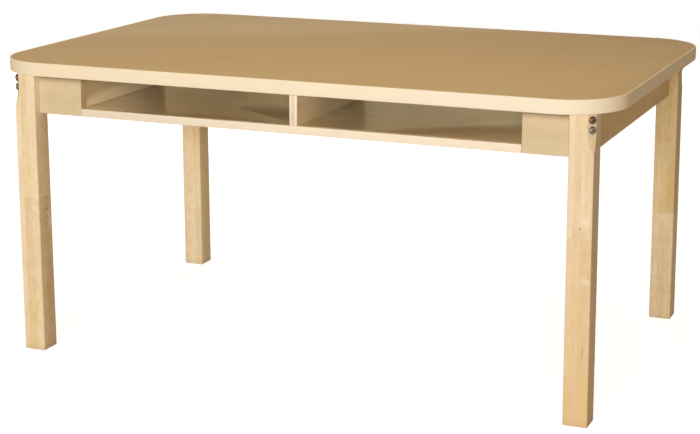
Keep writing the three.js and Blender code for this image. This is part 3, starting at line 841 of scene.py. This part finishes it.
class CornerJoint:
    """Distances in from the leg's outer faces, and levels, that the corner's pieces share."""

    def __init__(self, sizes):
        self.leg_width = size_of("leg_front_left").x
        self.leg_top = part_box("leg_front_left")[1].z
        self.apron_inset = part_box("apron_left")[1].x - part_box("leg_front_left")[0].x
        self.chamfer_plane = sizes.chamfer / math.sqrt(2)
        self.brace_face = self.leg_width * math.sqrt(2) + BRACE_DRAW
        self.bolt_seat = self.chamfer_plane - DRY_FIT
        self.nut_seat = self.brace_face + BRACE_THICKNESS + DRY_FIT
        self.bolt_length = self.nut_seat + NUT_HEIGHT + BOLT_PROJECTION - self.bolt_seat
        self.bolt_levels = {row: middle_of(f"leg_nut_front_left_{row}").z for row in ("upper", "lower")}
        self.brace_middle = sum(self.bolt_levels.values()) / 2
        self.screw_levels = {
            "lower": self.brace_middle - SCREW_SPACING / 2,
            "upper": self.brace_middle + SCREW_SPACING / 2,
        }
        self.flange_inset = self.apron_inset + DRY_FIT + BRACE_THICKNESS / 2
        self.web_foot = math.sqrt(2) * (self.brace_face + BRACE_THICKNESS / 2) - self.flange_inset
        self.hook_inset = self.web_foot + BRACE_FLANGE
        self.screw_inset = (self.web_foot + self.hook_inset) / 2
        self.screw_seat = self.flange_inset + BRACE_THICKNESS / 2 + DRY_FIT

    def diagonal_frame(self, distance, level):
        """Takes a piece drawn along +Z to the corner's diagonal, its origin a distance in from the arris."""
        turn = DIAGONAL.to_track_quat("Z", "Y").to_matrix().to_4x4()
        return Matrix.Translation(DIAGONAL * distance + UP * level) @ turn

    def bolt_holes(self, radius):
        start = DIAGONAL * -OVERRUN
        end = DIAGONAL * (self.nut_seat + OVERRUN)
        for level in self.bolt_levels.values():
            yield add_rod("hole", radius, start + UP * level, end + UP * level)

    def screw_frame(self, axis, level):
        """Takes a screw drawn along +Z to its flange: its apron lies along the axis."""
        out = Vector((0, -1, 0)) if axis == "X" else Vector((-1, 0, 0))
        seat = (self.screw_inset, self.screw_seat) if axis == "X" else (self.screw_seat, self.screw_inset)
        return Matrix.Translation((*seat, level)) @ out.to_track_quat("Z", "Y").to_matrix().to_4x4()

    def screw_holes(self, axis, to_corner=None):
        radius = SCREW["diameter"] / 2 + DRY_FIT
        for level in self.screw_levels.values():
            hole = add_rod("hole", radius, UP * -OVERRUN, UP * (SCREW["length"] + OVERRUN), sides=24)
            yield place(hole, (to_corner or Matrix()) @ self.screw_frame(axis, level))

    def kerf(self, axis, to_corner):
        """The saw kerf that the brace's hook drops into."""
        half = BRACE_THICKNESS / 2 + KERF_PLAY
        across = (self.apron_inset - BRACE_HOOK - KERF_PLAY, self.apron_inset + OVERRUN)
        along = (self.hook_inset - half, self.hook_inset + half)
        levels = (self.brace_middle - BRACE_HEIGHT / 2 - KERF_RUN_ON, self.leg_top + KERF_OPENING)
        xs, ys = (along, across) if axis == "X" else (across, along)
        cutter = add_block("kerf", (xs[0], ys[0], levels[0]), (xs[1], ys[1], levels[1]))
        return place(cutter, to_corner)

    def apron_cutters(self, corner, lies_along):
        """The kerf and pilot holes in the apron that lies along the desk's X or Y at a corner."""
        axis = turned_axis(corner, lies_along)
        matrix = corner_matrix(corner)
        return [self.kerf(axis, matrix), *self.screw_holes(axis, matrix)]


class DESK_OT_add_top(Operator):
    """Adds the laminate sheet and the edge band, and finishes the core and the backing sheet."""

    bl_idname = "desk.add_top"
    bl_label = "Add Top"

    def execute(self, context):
        sizes = context.scene.desk_sizes
        colours = context.scene.desk_colours
        self.add_laminate(sizes, laminate_finish(colours))
        self.add_band(sizes, band_finish(colours))
        give_finish(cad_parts["top_core"], board_core_finish(colours))
        give_finish(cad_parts["top_backer"], backer_finish(colours))
        return {"FINISHED"}

    @staticmethod
    def add_slab(name, node, radius):
        slab = add_block(name, *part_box(node))
        upright = size_of(node).z / 2
        return round_edges(slab, lambda a, b: abs(a.z - b.z) > upright, radius, segments=40)

    def add_laminate(self, sizes, finish):
        radius = sizes.corner_radius - (size_of("top_edge_band").x - size_of("top_laminate").x) / 2
        sheet = self.add_slab("desk_laminate", "top_laminate", radius)
        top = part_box("top_laminate")[1].z
        round_edges(sheet, lambda a, b: min(a.z, b.z) > top - HAIR, LAMINATE_ARRIS, segments=2)
        hand_over(smooth(sheet), "top_laminate", finish, "laminate")

    def add_band(self, sizes, finish):
        band = self.add_slab("desk_edge_band", "top_edge_band", sizes.corner_radius)
        for sign in (1, -1):
            select_faces(band, lambda middle, normal: normal.z * sign > 0.9)
            bpy.ops.mesh.inset(thickness=sizes.band_thickness)
            bpy.ops.mesh.delete(type="FACE")
            leave_edit()
        mesh = edit(band)
        bpy.ops.mesh.select_mode(type="EDGE")
        for edge in mesh.edges:
            if edge.is_boundary:
                edge.select_set(True)
        bmesh.update_edit_mesh(band.data)
        bpy.ops.mesh.bridge_edge_loops()
        leave_edit()
        low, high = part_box("top_edge_band")

        def outer_arris(a, b):
            level = abs(a.z - b.z) < HAIR
            return level and self.on_outline(a, low, high, sizes) and self.on_outline(b, low, high, sizes)

        round_edges(band, outer_arris, sizes.band_easing, segments=5)
        hand_over(smooth(face_outwards(band)), "top_edge_band", finish, "band")

    @staticmethod
    def on_outline(point, low, high, sizes):
        """True for a point on the band's outer outline, and not on its inner edge."""
        half = (high - low) / 2
        middle = (low + high) / 2
        x = max(abs(point.x - middle.x) - (half.x - sizes.corner_radius), 0)
        y = max(abs(point.y - middle.y) - (half.y - sizes.corner_radius), 0)
        return math.hypot(x, y) > sizes.corner_radius - sizes.band_thickness / 2


class DESK_OT_add_legs(Operator):
    """Adds the four legs, each with its stopped chamfer and its bolt holes."""

    bl_idname = "desk.add_legs"
    bl_label = "Add Legs"

    def execute(self, context):
        sizes = context.scene.desk_sizes
        colours = context.scene.desk_colours
        leg = self.model_leg(sizes)
        for corner in CORNERS:
            piece = place(copy_of(leg, f"desk_leg_{corner}"), corner_matrix(corner))
            hand_over(piece, f"leg_{corner}", self.finish(corner, colours), "maple")
        discard(leg)
        return {"FINISHED"}

    @staticmethod
    def model_leg(sizes):
        joint = CornerJoint(sizes)
        width = joint.leg_width
        leg = add_block("leg", (0, 0, 0), (width, width, joint.leg_top))
        round_edges(leg, lambda a, b: abs(a.z - b.z) > width, sizes.leg_easing, segments=5)
        round_edges(leg, lambda a, b: max(a.z, b.z) < HAIR, sizes.foot_easing, segments=4)
        stop = joint.leg_top - sizes.chamfer_length
        planer = add_block(
            "planer", (-width, -width, stop), (joint.chamfer_plane, width, joint.leg_top + width)
        )
        place(planer, Matrix.Rotation(math.pi / 4, 4, "Z"))
        across = Vector((-1, 1, 0)).normalized() * width
        centre = DIAGONAL * (joint.chamfer_plane - sizes.cutter_radius) + UP * stop
        cutter = add_rod("cutter", sizes.cutter_radius, centre - across, centre + across, sides=180)
        cut_away(leg, planer, cutter, *joint.bolt_holes(sizes.bolt / 2 + DRY_FIT))
        return smooth(leg, 25)

    @staticmethod
    def finish(corner, colours):
        """Each leg's own boards: its seed, strips, finger joints and knots."""
        centre = middle_of(f"leg_{corner}")
        low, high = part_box(f"leg_{corner}")
        side = high.x
        front = low.y
        boards = {
            "front_left": {
                "seed": 1.3,
                "tint": (0.985, 1.02, 1.06),
                "gold": 0.7,
                "mellow": 0,
                "rise": 0,
                "strips": ((-9 * MM, 0.08),),
                "joints": ((0.3095, -0.05),),
                "marks": (
                    ("knot", (side, -0.326, 0.304), (3.4 * MM, 3.4 * MM, 3.2 * MM), 0.5),
                    ("knot", (side, -0.3254, 0.282), (5 * MM, 5 * MM, 5 * MM), 0.6),
                    ("pale", (side, -0.3195, 0.2718), (4.5 * MM, 5.5 * MM, 4 * MM), 1),
                    ("knot", (side, -0.3245, 0.2668), (5.5 * MM, 5.5 * MM, 3.6 * MM), 0.5),
                    ("knot", (side, -0.3272, 0.2555), (4 * MM, 4.2 * MM, 7 * MM), 0.32),
                    ("pale", (side, -0.3165, 0.2555), (4.5 * MM, 5.5 * MM, 12 * MM), 1),
                    ("knot", (side - 12.5 * MM, front, 0.403), (0.8 * MM, 2 * MM, 26 * MM), 0.14),
                    # Painted light: a pale patch high on the inner side face, beside the front apron,
                    # standing in for light thrown onto it from the apron.
                    ("pale", (side, front + 9 * MM, 0.53), (2.5 * MM, 24 * MM, 64 * MM), 0.5),
                ),
            },
            "front_right": {
                "seed": 4.7,
                "tint": (0.935, 0.955, 0.98),
                "gold": 0.7,
                "mellow": 0.55,
                "rise": 0,
                "strips": ((-11 * MM, 0.03), (1.5 * MM, 0.13)),
                "joints": ((0.337, -0.14), (0.092, -0.08)),
                "marks": (
                    ("knot", (0.5503, front, 0.3543), (2 * MM, 2 * MM, 2.2 * MM), 1),
                    ("knot", (0.555, front, 0.344), (8 * MM, 4 * MM, 9 * MM), 0.12),
                    ("pale", (0.5585, front, 0.367), (9 * MM, 3 * MM, 9 * MM), 0.45),
                    ("knot", (0.5501, front, 0.4915), (1 * MM, 2 * MM, 1.2 * MM), 0.4),
                    ("knot", (0.5665, front, 0.2705), (3.4 * MM, 3 * MM, 5 * MM), 0.3),
                    ("pale", (0.562, front, 0.262), (9 * MM, 3 * MM, 5 * MM), 0.35),
                    ("knot", (0.5593, front, 0.136), (1 * MM, 2 * MM, 14 * MM), 0.75),
                    ("knot", (0.566, front + 5 * MM, 0.516), (5 * MM, 5 * MM, 9 * MM), 0.2),
                ),
            },
            "back_right": {
                "seed": 8.2,
                "tint": (0.96, 1, 1.03),
                "gold": 0.35,
                "mellow": 0,
                # rise is painted shade: the upper part is darkened as if shaded by the top.
                "rise": 0.15,
                "strips": ((-8 * MM, 0.14),),
                "joints": ((0.228, 0.2),),
                "marks": (),
            },
            "back_left": {
                "seed": 6.4,
                # Painted light: the back-left leg's tint is set paler than the other legs' to make up for the
                # shade it stands in.
                "tint": (1.18, 1.18, 1.22),
                "gold": 0.25,
                "mellow": 0,
                # rise is painted shade: the upper part is darkened as if shaded by the top.
                "rise": 0.5,
                "strips": ((7 * MM, 0.04),),
                "joints": ((0.4, 0.1),),
                "marks": (),
            },
        }
        return maple(f"maple_{corner}", centre, colours, boards[corner])


class DESK_OT_add_leg_bolts(Operator):
    """Adds the button-head socket bolts and their nuts."""

    bl_idname = "desk.add_leg_bolts"
    bl_label = "Add Leg Bolts"

    def execute(self, context):
        sizes = context.scene.desk_sizes
        colours = context.scene.desk_colours
        joint = CornerJoint(sizes)
        oxide = black_steel_finish(colours, joint.bolt_levels["upper"], joint.bolt_levels["lower"])
        kinds = (
            ("bolt", self.model_bolt(sizes, joint), joint.bolt_seat, oxide, "black_steel"),
            ("nut", self.model_nut(sizes), joint.nut_seat, zinc_finish(colours), "zinc_steel"),
        )
        for kind, model, seat, finish, slot in kinds:
            for corner in CORNERS:
                for row, level in joint.bolt_levels.items():
                    piece = copy_of(model, f"desk_{kind}_{corner}_{row}")
                    place(piece, corner_matrix(corner) @ joint.diagonal_frame(seat, level))
                    hand_over(piece, f"leg_{kind}_{corner}_{row}", finish, slot)
            discard(model)
        return {"FINISHED"}

    @staticmethod
    def model_bolt(sizes, joint):
        """A bolt along +Z, the underside of its head at the origin and its tip threaded."""
        radius = sizes.bolt_head / 2
        flat = BOLT_HEAD_FLAT / 2
        shank = sizes.bolt / 2
        root = shank - THREAD_DEPTH
        steps = 12
        profile = []
        for step in range(steps + 1):
            angle = step / steps * math.pi / 2
            profile.append((
                flat + (radius - flat) * math.sin(angle),
                -BOLT_HEAD_RIM - (BOLT_HEAD_HEIGHT - BOLT_HEAD_RIM) * math.cos(angle),
            ))
        profile += [(radius, -BOLT_HEAD_EDGE), (radius - BOLT_HEAD_EDGE, 0), (shank, 0)]
        level = joint.bolt_length - BOLT_TIP - THREAD_TURNS * THREAD_PITCH
        for turn in range(THREAD_TURNS):
            profile += [(shank, level), (root, level + THREAD_PITCH / 2)]
            level += THREAD_PITCH
        profile += [(shank, level), (shank - BOLT_TIP, joint.bolt_length)]
        bolt = turned("bolt", profile, sides=40)
        corner = BOLT_SOCKET_ACROSS / math.sqrt(3)
        floor = BOLT_SOCKET_DEPTH - BOLT_HEAD_HEIGHT
        socket = add_rod("socket", corner, UP * -2 * BOLT_HEAD_HEIGHT, UP * floor, sides=6)
        return smooth(cut_away(bolt, socket), 40)

    @staticmethod
    def model_nut(sizes):
        """A hexagon nut along +Z from the origin, its corners turned off at both faces."""
        corner = NUT_ACROSS / math.sqrt(3)
        face = NUT_ACROSS / 2
        drop = (corner - face) * math.tan(NUT_CHAMFER)
        nut = add_rod("nut", corner, UP * -OVERRUN, UP * (NUT_HEIGHT + OVERRUN), sides=6)
        profile = [(face, 0), (corner, drop), (corner, NUT_HEIGHT - drop), (face, NUT_HEIGHT)]
        keep_common(nut, turned("blank", profile, sides=96))
        bore = add_rod("bore", sizes.bolt / 2 + DRY_FIT, UP * -OVERRUN, UP * (NUT_HEIGHT + OVERRUN))
        return smooth(cut_away(nut, bore), 25)


class DESK_OT_add_corner_braces(Operator):
    """Adds the bent steel braces that draw the aprons and legs together."""

    bl_idname = "desk.add_corner_braces"
    bl_label = "Add Corner Braces"

    def execute(self, context):
        sizes = context.scene.desk_sizes
        finish = zinc_finish(context.scene.desk_colours)
        brace = self.model_brace(sizes)
        for corner in CORNERS:
            piece = place(copy_of(brace, f"desk_brace_{corner}"), corner_matrix(corner))
            hand_over(piece, f"corner_brace_{corner}", finish, "zinc_steel")
        discard(brace)
        return {"FINISHED"}

    @staticmethod
    def model_brace(sizes):
        """A strip drawn out bend by bend, given its thickness and drilled."""
        joint = CornerJoint(sizes)
        tip = joint.apron_inset - BRACE_HOOK
        path = (
            (tip, joint.hook_inset),
            (joint.flange_inset, joint.hook_inset),
            (joint.flange_inset, joint.web_foot),
            (joint.web_foot, joint.flange_inset),
            (joint.hook_inset, joint.flange_inset),
            (joint.hook_inset, tip),
        )
        points = [Vector((x, y, joint.brace_middle)) for x, y in path]
        deselect_all()
        bpy.ops.mesh.primitive_plane_add(
            size=1, location=(points[0] + points[1]) / 2, rotation=(math.pi / 2, 0, 0)
        )
        brace = new_piece("brace")
        brace.scale = ((points[1] - points[0]).length, BRACE_HEIGHT, 1)
        settle(brace)
        for here, there in zip(points[1:], points[2:]):
            select_edges(brace, stands_at(here))
            bpy.ops.mesh.extrude_edges_move(TRANSFORM_OT_translate={"value": there - here})
            leave_edit()
        radius = BRACE_BEND + BRACE_THICKNESS / 2
        for before, bend, after in zip(points, points[1:], points[2:]):
            setback = radius * math.tan((bend - before).angle(after - bend) / 2)
            round_edges(brace, stands_at(bend), setback, segments=6)
        apply_modifier(brace, "SOLIDIFY", thickness=BRACE_THICKNESS, offset=0)
        face_outwards(brace)
        cut_away(
            brace,
            *joint.bolt_holes(sizes.bolt / 2 + DRY_FIT),
            *joint.screw_holes("X"),
            *joint.screw_holes("Y"),
        )
        soften(brace, BRACE_EDGE, segments=1, angle=60)
        return smooth(brace, 25)


def model_screw(name, diameter, length, head, head_height):
    """A pan-head screw along +Z, the underside of its head at the origin, with a cross recess."""
    steps = 6
    profile = []
    for step in range(steps + 1):
        angle = step / steps * math.pi / 2
        radius = head / 2 * (0.5 + 0.5 * math.sin(angle))
        profile.append((radius, -head_height * (0.3 + 0.7 * math.cos(angle))))
    profile += [(head / 2, 0), (diameter / 2, 0), (diameter / 2, length - SCREW_POINT), (0, length)]
    screw = turned(name, profile, sides=28)
    reach = head * 0.27
    width = head * 0.07
    floor = -head_height * 0.35
    for x, y in ((reach, width), (width, reach)):
        cut_away(screw, add_block("recess", (-x, -y, -2 * head_height), (x, y, floor)))
    return smooth(screw, 35)


def pocket_screws():
    """Each pocket screw's name, apron, place under the top and the level direction that it leans to."""
    side_x = middle_of("apron_right").x
    rear_y = middle_of("apron_rear").y
    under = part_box("top_backer")[0].z
    for side, sign in (("left", -1), ("right", 1)):
        for end, run in (("front", -1), ("rear", 1)):
            point = Vector((sign * side_x, run * POCKET_SPACING_SIDE / 2, under))
            yield f"top_screw_{side}_{end}", f"apron_{side}", point, Vector((sign, 0, 0))
        point = Vector((sign * POCKET_SPACING_REAR / 2, rear_y, under))
        yield f"top_screw_back_{side}", "apron_rear", point, Vector((0, 1, 0))


def pocket_frame(point, lean):
    """Takes a screw drawn along +Z to its pocket, its seat at the origin."""
    axis = UP * math.cos(POCKET_ANGLE) + lean * math.sin(POCKET_ANGLE)
    turn = axis.to_track_quat("Z", "Y").to_matrix().to_4x4()
    return Matrix.Translation(point - axis * POCKET_SHOULDER) @ turn


class DESK_OT_add_screws(Operator):
    """Adds the braces' screws and the pocket screws that hold the top."""

    bl_idname = "desk.add_screws"
    bl_label = "Add Screws"

    def execute(self, context):
        sizes = context.scene.desk_sizes
        finish = zinc_finish(context.scene.desk_colours)
        joint = CornerJoint(sizes)
        screw = model_screw("screw", **SCREW)
        for corner in CORNERS:
            for axis in "XY":
                on_side = turned_axis(corner, axis) == "Y"
                for row, level in joint.screw_levels.items():
                    name = f"brace_screw_{corner}_{'side' if on_side else 'end'}_{row}"
                    matrix = corner_matrix(corner) @ joint.screw_frame(axis, level)
                    hand_over(place(copy_of(screw, f"desk_{name}"), matrix), name, finish, "zinc_steel")
        discard(screw)
        screw = model_screw("screw", **POCKET_SCREW)
        for name, apron, point, lean in pocket_screws():
            matrix = pocket_frame(point, lean) @ Matrix.Translation(UP * -2 * DRY_FIT)
            hand_over(place(copy_of(screw, f"desk_{name}"), matrix), name, finish, "zinc_steel")
        discard(screw)
        return {"FINISHED"}


class DESK_OT_add_aprons(Operator):
    """Adds the side, rear and front aprons with their kerfs, pilot holes and pockets."""

    bl_idname = "desk.add_aprons"
    bl_label = "Add Aprons"

    def execute(self, context):
        sizes = context.scene.desk_sizes
        colours = context.scene.desk_colours
        joint = CornerJoint(sizes)
        aprons = (
            ("apron_left", "Y", ("front_left", "back_left"), 2.1),
            ("apron_right", "Y", ("front_right", "back_right"), 5.2),
            ("apron_rear", "X", ("back_left", "back_right"), 7.7),
            ("apron_front_left", "X", ("front_left",), 3.4),
            ("apron_front_right", "X", ("front_right",), 9.1),
        )
        for node, along, corners, seed in aprons:
            apron = self.model_apron(node, along, corners, sizes, joint)
            light, deep = colours.apron_light, colours.apron_dark
            # Painted shade: the side aprons take warmer tones, standing in for the warm shade on the desk's
            # sides.
            if along == "Y":
                light, deep = colours.side_apron_light, colours.side_apron_dark
            end_tone = shade(deep, 1.1 if len(corners) == 1 else 0.9)
            finish = solid_wood(node, light, deep, seed, along, end_tone)
            hand_over(apron, node, finish, "apron")
        return {"FINISHED"}

    def model_apron(self, node, along, corners, sizes, joint):
        low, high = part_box(node)
        axis = AXES[along]
        apron = add_block(f"desk_{node}", low, high)
        reach = (high - low)[axis] / 2
        round_edges(
            apron,
            lambda a, b: max(a.z, b.z) < low.z + HAIR and abs(a[axis] - b[axis]) > reach,
            sizes.apron_easing,
            segments=5,
        )
        if node.startswith("apron_front"):
            inner_corner = Vector((min(low.x, high.x, key=abs), low.y, low.z))
            round_edges(apron, stands_at(inner_corner), sizes.end_easing, segments=5)
        for corner in corners:
            cut_away(apron, *joint.apron_cutters(corner, along))
        for name, carrier, point, lean in pocket_screws():
            if carrier == node:
                self.cut_pocket(apron, pocket_frame(point, lean))
        return smooth(apron, 25)

    @staticmethod
    def cut_pocket(apron, matrix):
        size = POCKET_SCREW
        pocket = add_rod("pocket", POCKET_DIAMETER / 2, UP * -POCKET_REACH, UP * -DRY_FIT)
        hole = add_rod("hole", size["diameter"] / 2 + DRY_FIT, UP * -OVERRUN, UP * size["length"], sides=24)
        cut_away(apron, place(pocket, matrix), place(hole, matrix))


class DESK_OT_add_compartments(Operator):
    """Adds the shelf board, the divider, the side walls and the back panel."""

    bl_idname = "desk.add_compartments"
    bl_label = "Add Book Compartments"

    def execute(self, context):
        sizes = context.scene.desk_sizes
        colours = context.scene.desk_colours
        veneer = plywood(
            "shelf_veneer", "shelf_board", colours, 2.6, "Z", "X", tint=1.4, drift_and_painted_light=0.9, lipped=True, coat=1.0
        )
        hand_over(self.model_shelf(sizes), "shelf_board", veneer, "shelf")
        low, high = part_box("divider")
        pale = shade(colours.lipping, 0.8)
        chips = (
            ((high.x, -0.2995, 0.534), (1 * MM, 1.6 * MM, 4 * MM), pale),
            ((high.x, -0.3213, 0.4915), (1 * MM, 1 * MM, 3.5 * MM), pale),
            ((low.x + 5.4 * MM, low.y, 0.505), (0.5 * MM, 2 * MM, 9 * MM), shade(colours.birch_dark, 0.2)),
            # Painted light: a paler patch low on the divider's right face, standing in for light thrown up
            # from the shelf.
            ((high.x, -0.29, low.z), (3 * MM, 110 * MM, 44 * MM), shade(colours.birch_light, 1.1)),
        )
        # The divider's tint is paler than the walls' and its drift lightens it towards the back: painted
        # light, making up for the shade on its faces.
        tint = (1.22, 1.28, 1.42)
        finish = plywood(
            "divider_plywood", "divider", colours, 4.4, "X", "Y", tint, drift_and_painted_light=3.0, coat=1.0, chips=chips
        )
        hand_over(self.model_divider(sizes), "divider", finish, "plywood")
        for side, seed in (("left", 6.8), ("right", 1.9)):
            node = f"compartment_wall_{side}"
            low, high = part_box(node)
            wall = add_block(f"desk_{node}", low, high)
            smooth(round_edges(wall, lambda a, b: max(a.y, b.y) < low.y + HAIR, sizes.arris, segments=2))
            # Painted light: a paler strip along the foot of each wall's right-hand face, standing in for
            # light thrown up from the shelf; the walls' drift, paler towards the back, is painted light too.
            foot = shade(colours.birch_light, (1.36, 1.4, 1.5))
            chips = (
                ((high.x, -0.2, low.z), (3 * MM, 200 * MM, 30 * MM), foot),
                ((high.x, -0.2607, 0.4855), (1 * MM, 1.8 * MM, 1.4 * MM), pale),
            )
            finish = plywood(
                f"wall_{side}_plywood", node, colours, seed, "X", "Y", drift_and_painted_light=4.0, coat=1.0, chips=chips
            )
            hand_over(wall, node, finish, "plywood")
        node = "compartment_back"
        low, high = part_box(node)
        back = smooth(soften(add_block(f"desk_{node}", low, high), sizes.arris))
        # Painted shade and painted light: darker patches along the top on the left and in the middle, and a
        # paler patch at the top on the right, standing in for the shade and light on the back panel.
        chips = (
            ((-0.3, low.y, high.z), (0.25, 0.05, 0.078), shade(colours.birch_dark, 0.68)),
            ((0.15, low.y, 0.53), (0.25, 0.05, 0.045), shade(colours.birch_dark, 0.75)),
            ((0.36, low.y, high.z), (0.25, 0.05, 0.035), shade(colours.birch_light, 1.3)),
        )
        finish = plywood("back_plywood", node, colours, 8.3, "Y", "X", tint=1.5, drift_and_painted_light=0.8, chips=chips)
        hand_over(back, node, finish, "plywood")
        return {"FINISHED"}

    @staticmethod
    def model_shelf(sizes):
        """The board widens behind the front aprons, and a stopped groove takes the divider."""
        low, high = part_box("shelf_board")
        left_apron_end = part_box("apron_front_left")[1]
        right_apron_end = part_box("apron_front_right")[0]
        shoulder = left_apron_end.y + DRY_FIT
        board = add_block("desk_shelf_board", low, high)
        for start, end in (
            (low.x - OVERRUN, left_apron_end.x + DRY_FIT),
            (right_apron_end.x - DRY_FIT, high.x + OVERRUN),
        ):
            corners = ((start, low.y - OVERRUN, low.z - OVERRUN), (end, shoulder, high.z + OVERRUN))
            cut_away(board, add_block("notch", *corners))
        divider_low, divider_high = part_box("divider")
        groove = add_block(
            "groove",
            (divider_low.x - GLUE_LINE, low.y + DIVIDER_NOSE - GLUE_LINE, high.z - DIVIDER_GROOVE),
            (divider_high.x + GLUE_LINE, high.y + OVERRUN, high.z + OVERRUN),
        )
        cut_away(board, groove)
        return smooth(soften(board, sizes.arris))

    @staticmethod
    def model_divider(sizes):
        low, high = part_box("divider")
        board_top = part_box("shelf_board")[1].z
        panel = add_block("desk_divider", low, high)
        nose = add_block(
            "nose",
            (low.x - OVERRUN, low.y - OVERRUN, low.z - OVERRUN),
            (high.x + OVERRUN, low.y + DIVIDER_NOSE, board_top + GLUE_LINE),
        )
        cut_away(panel, nose)
        return smooth(soften(panel, sizes.arris))


class DESK_OT_add_stage(Operator):
    """Adds the floor, the lights, the world and the camera."""

    bl_idname = "desk.add_stage"
    bl_label = "Add Stage"

    def execute(self, context):
        studio = context.scene.studio
        self.add_floor()
        # Name, azimuth and elevation in degrees, distance, size, level and tint
        lights = (
            ("key_softbox", 10, 11, 8, (4.6, 1.6), studio.key, (1, 0.995, 0.985)),
            ("left_softbox", -80, 10, 3.2, (1.4, 1.2), studio.left, (1, 0.88, 0.7)),
            ("right_softbox", 75, 10, 8, (3.5, 3), studio.right, (1, 0.76, 0.42)),
            ("overhead_softbox", 0, 90, 2.4, (2.2, 1.6), studio.overhead, (1, 0.8, 0.55)),
            ("back_softbox", 206, -2, 3.6, (1.8, 0.6), studio.back, (1, 0.95, 0.88)),
        )
        for light in lights:
            self.add_light(*light)
        self.make_world(studio.ambient)
        self.add_camera()
        context.scene.view_settings.view_transform = "Standard"
        return {"FINISHED"}

    @staticmethod
    def seen_rays(tree):
        """1 for the camera's own rays, in gloss and through glass, and 0 for all other rays."""
        paths = tree.nodes.new("ShaderNodeLightPath")
        seen = paths.outputs["Is Camera Ray"]
        for output in ("Is Glossy Ray", "Is Transmission Ray"):
            either = tree.nodes.new("ShaderNodeMath")
            either.operation = "MAXIMUM"
            tree.links.new(seen, either.inputs[0])
            tree.links.new(paths.outputs[output], either.inputs[1])
            seen = either.outputs[0]
        return seen

    def add_floor(self):
        """White with the desk's shadow to the camera and to gloss, and a warm card to all other rays."""
        deselect_all()
        bpy.ops.mesh.primitive_plane_add(size=FLOOR_SIZE)
        floor = new_piece("studio_floor")
        finish = Finish("studio_floor")
        warm = finish.node("ShaderNodeBsdfDiffuse", values={"Color": (0.62, 0.54, 0.43, 1)})
        grey = finish.node("ShaderNodeBsdfDiffuse", values={"Color": (0.5, 0.49, 0.47, 1)})
        away = finish.distance((0, 0, 0)).ramp(1, 7)
        strength = FLOOR_GLOW_NEAR + (FLOOR_GLOW_FAR - FLOOR_GLOW_NEAR) * away
        glow = finish.node("ShaderNodeEmission", values={"Color": (1, 1, 1, 1), "Strength": strength})
        both = finish.node("ShaderNodeAddShader", values={0: grey, 1: glow})
        seen = Field(finish, self.seen_rays(finish.tree))
        shader = finish.node("ShaderNodeMixShader", values={0: seen, 1: warm, 2: both})
        finish.node("ShaderNodeOutputMaterial", values={"Surface": shader})
        give_finish(floor, finish.material)
        floor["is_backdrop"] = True

    @staticmethod
    def add_light(name, azimuth, elevation, distance, size, level, tint):
        """A softbox. Level is how bright it makes a white card that faces it at the lights' target."""
        azimuth, elevation = math.radians(azimuth), math.radians(elevation)
        towards = Vector((
            math.sin(azimuth) * math.cos(elevation),
            -math.cos(azimuth) * math.cos(elevation),
            math.sin(elevation),
        ))
        deselect_all()
        bpy.ops.object.light_add(
            type="AREA",
            location=LIGHTS_TARGET + towards * distance,
            rotation=towards.to_track_quat("Z", "Y").to_euler(),
        )
        light = new_piece(name)
        light.data.shape = "RECTANGLE"
        light.data.size, light.data.size_y = size
        light.data.energy = level * (math.pi * distance) ** 2
        light.data.color = tint
        light.visible_camera = False

    def make_world(self, ambient):
        """White to the camera, to gloss and through glass, and a soft warm fill to everything else."""
        world = bpy.data.worlds.new("studio_world")
        world.use_nodes = True
        bpy.context.scene.world = world
        tree = world.node_tree
        tree.nodes.clear()
        fill = tree.nodes.new("ShaderNodeBackground")
        fill.inputs["Color"].default_value = (1, 0.76, 0.42, 1)
        fill.inputs["Strength"].default_value = ambient
        white = tree.nodes.new("ShaderNodeBackground")
        white.inputs["Color"].default_value = (1, 1, 1, 1)
        shader = tree.nodes.new("ShaderNodeMixShader")
        tree.links.new(self.seen_rays(tree), shader.inputs[0])
        tree.links.new(fill.outputs[0], shader.inputs[1])
        tree.links.new(white.outputs[0], shader.inputs[2])
        output = tree.nodes.new("ShaderNodeOutputWorld")
        tree.links.new(shader.outputs[0], output.inputs["Surface"])

    @staticmethod
    def add_camera():
        deselect_all()
        bpy.ops.object.camera_add(
            location=CAMERA_PLACE, rotation=(math.pi / 2 + CAMERA_TILT, 0, CAMERA_TURN)
        )
        camera = new_piece("camera")
        camera.data.lens = CAMERA_LENS
        camera.data.shift_x, camera.data.shift_y = CAMERA_SHIFT
        bpy.context.scene.camera = camera


BUILD_STEPS = (
    DESK_OT_add_top,
    DESK_OT_add_legs,
    DESK_OT_add_leg_bolts,
    DESK_OT_add_corner_braces,
    DESK_OT_add_screws,
    DESK_OT_add_aprons,
    DESK_OT_add_compartments,
    DESK_OT_add_stage,
)


class DESK_PT_panel(Panel):
    """Lists the desk's pieces, sizes, colours and lights."""

    bl_idname = "DESK_PT_panel"
    bl_label = "School Desk"
    bl_space_type = "VIEW_3D"
    bl_region_type = "UI"
    bl_category = "Desk"

    def draw(self, context):
        for step in BUILD_STEPS:
            self.layout.operator(step.bl_idname)
        for group in (context.scene.desk_sizes, context.scene.desk_colours, context.scene.studio):
            box = self.layout.box()
            for name in group.bl_rna.properties.keys():
                if name not in ("rna_type", "name"):
                    box.prop(group, name)


GROUPS = {"desk_sizes": DeskSizes, "desk_colours": DeskColours, "studio": StudioSettings}


def register():
    for cls in (*GROUPS.values(), *BUILD_STEPS, DESK_PT_panel):
        bpy.utils.register_class(cls)
    for name, group in GROUPS.items():
        setattr(bpy.types.Scene, name, PointerProperty(type=group))


def unregister():
    for name in GROUPS:
        delattr(bpy.types.Scene, name)
    for cls in reversed((*GROUPS.values(), *BUILD_STEPS, DESK_PT_panel)):
        bpy.utils.unregister_class(cls)


def main():
    register()
    for step in BUILD_STEPS:
        group, name = step.bl_idname.split(".")
        getattr(getattr(bpy.ops, group), name)()
    boxes = {
        name: [[float(value) for value in corner] for corner in box]
        for name, box in (("cad", cad_box), ("visual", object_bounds()))
    }


if __name__ == "__main__":
    main()
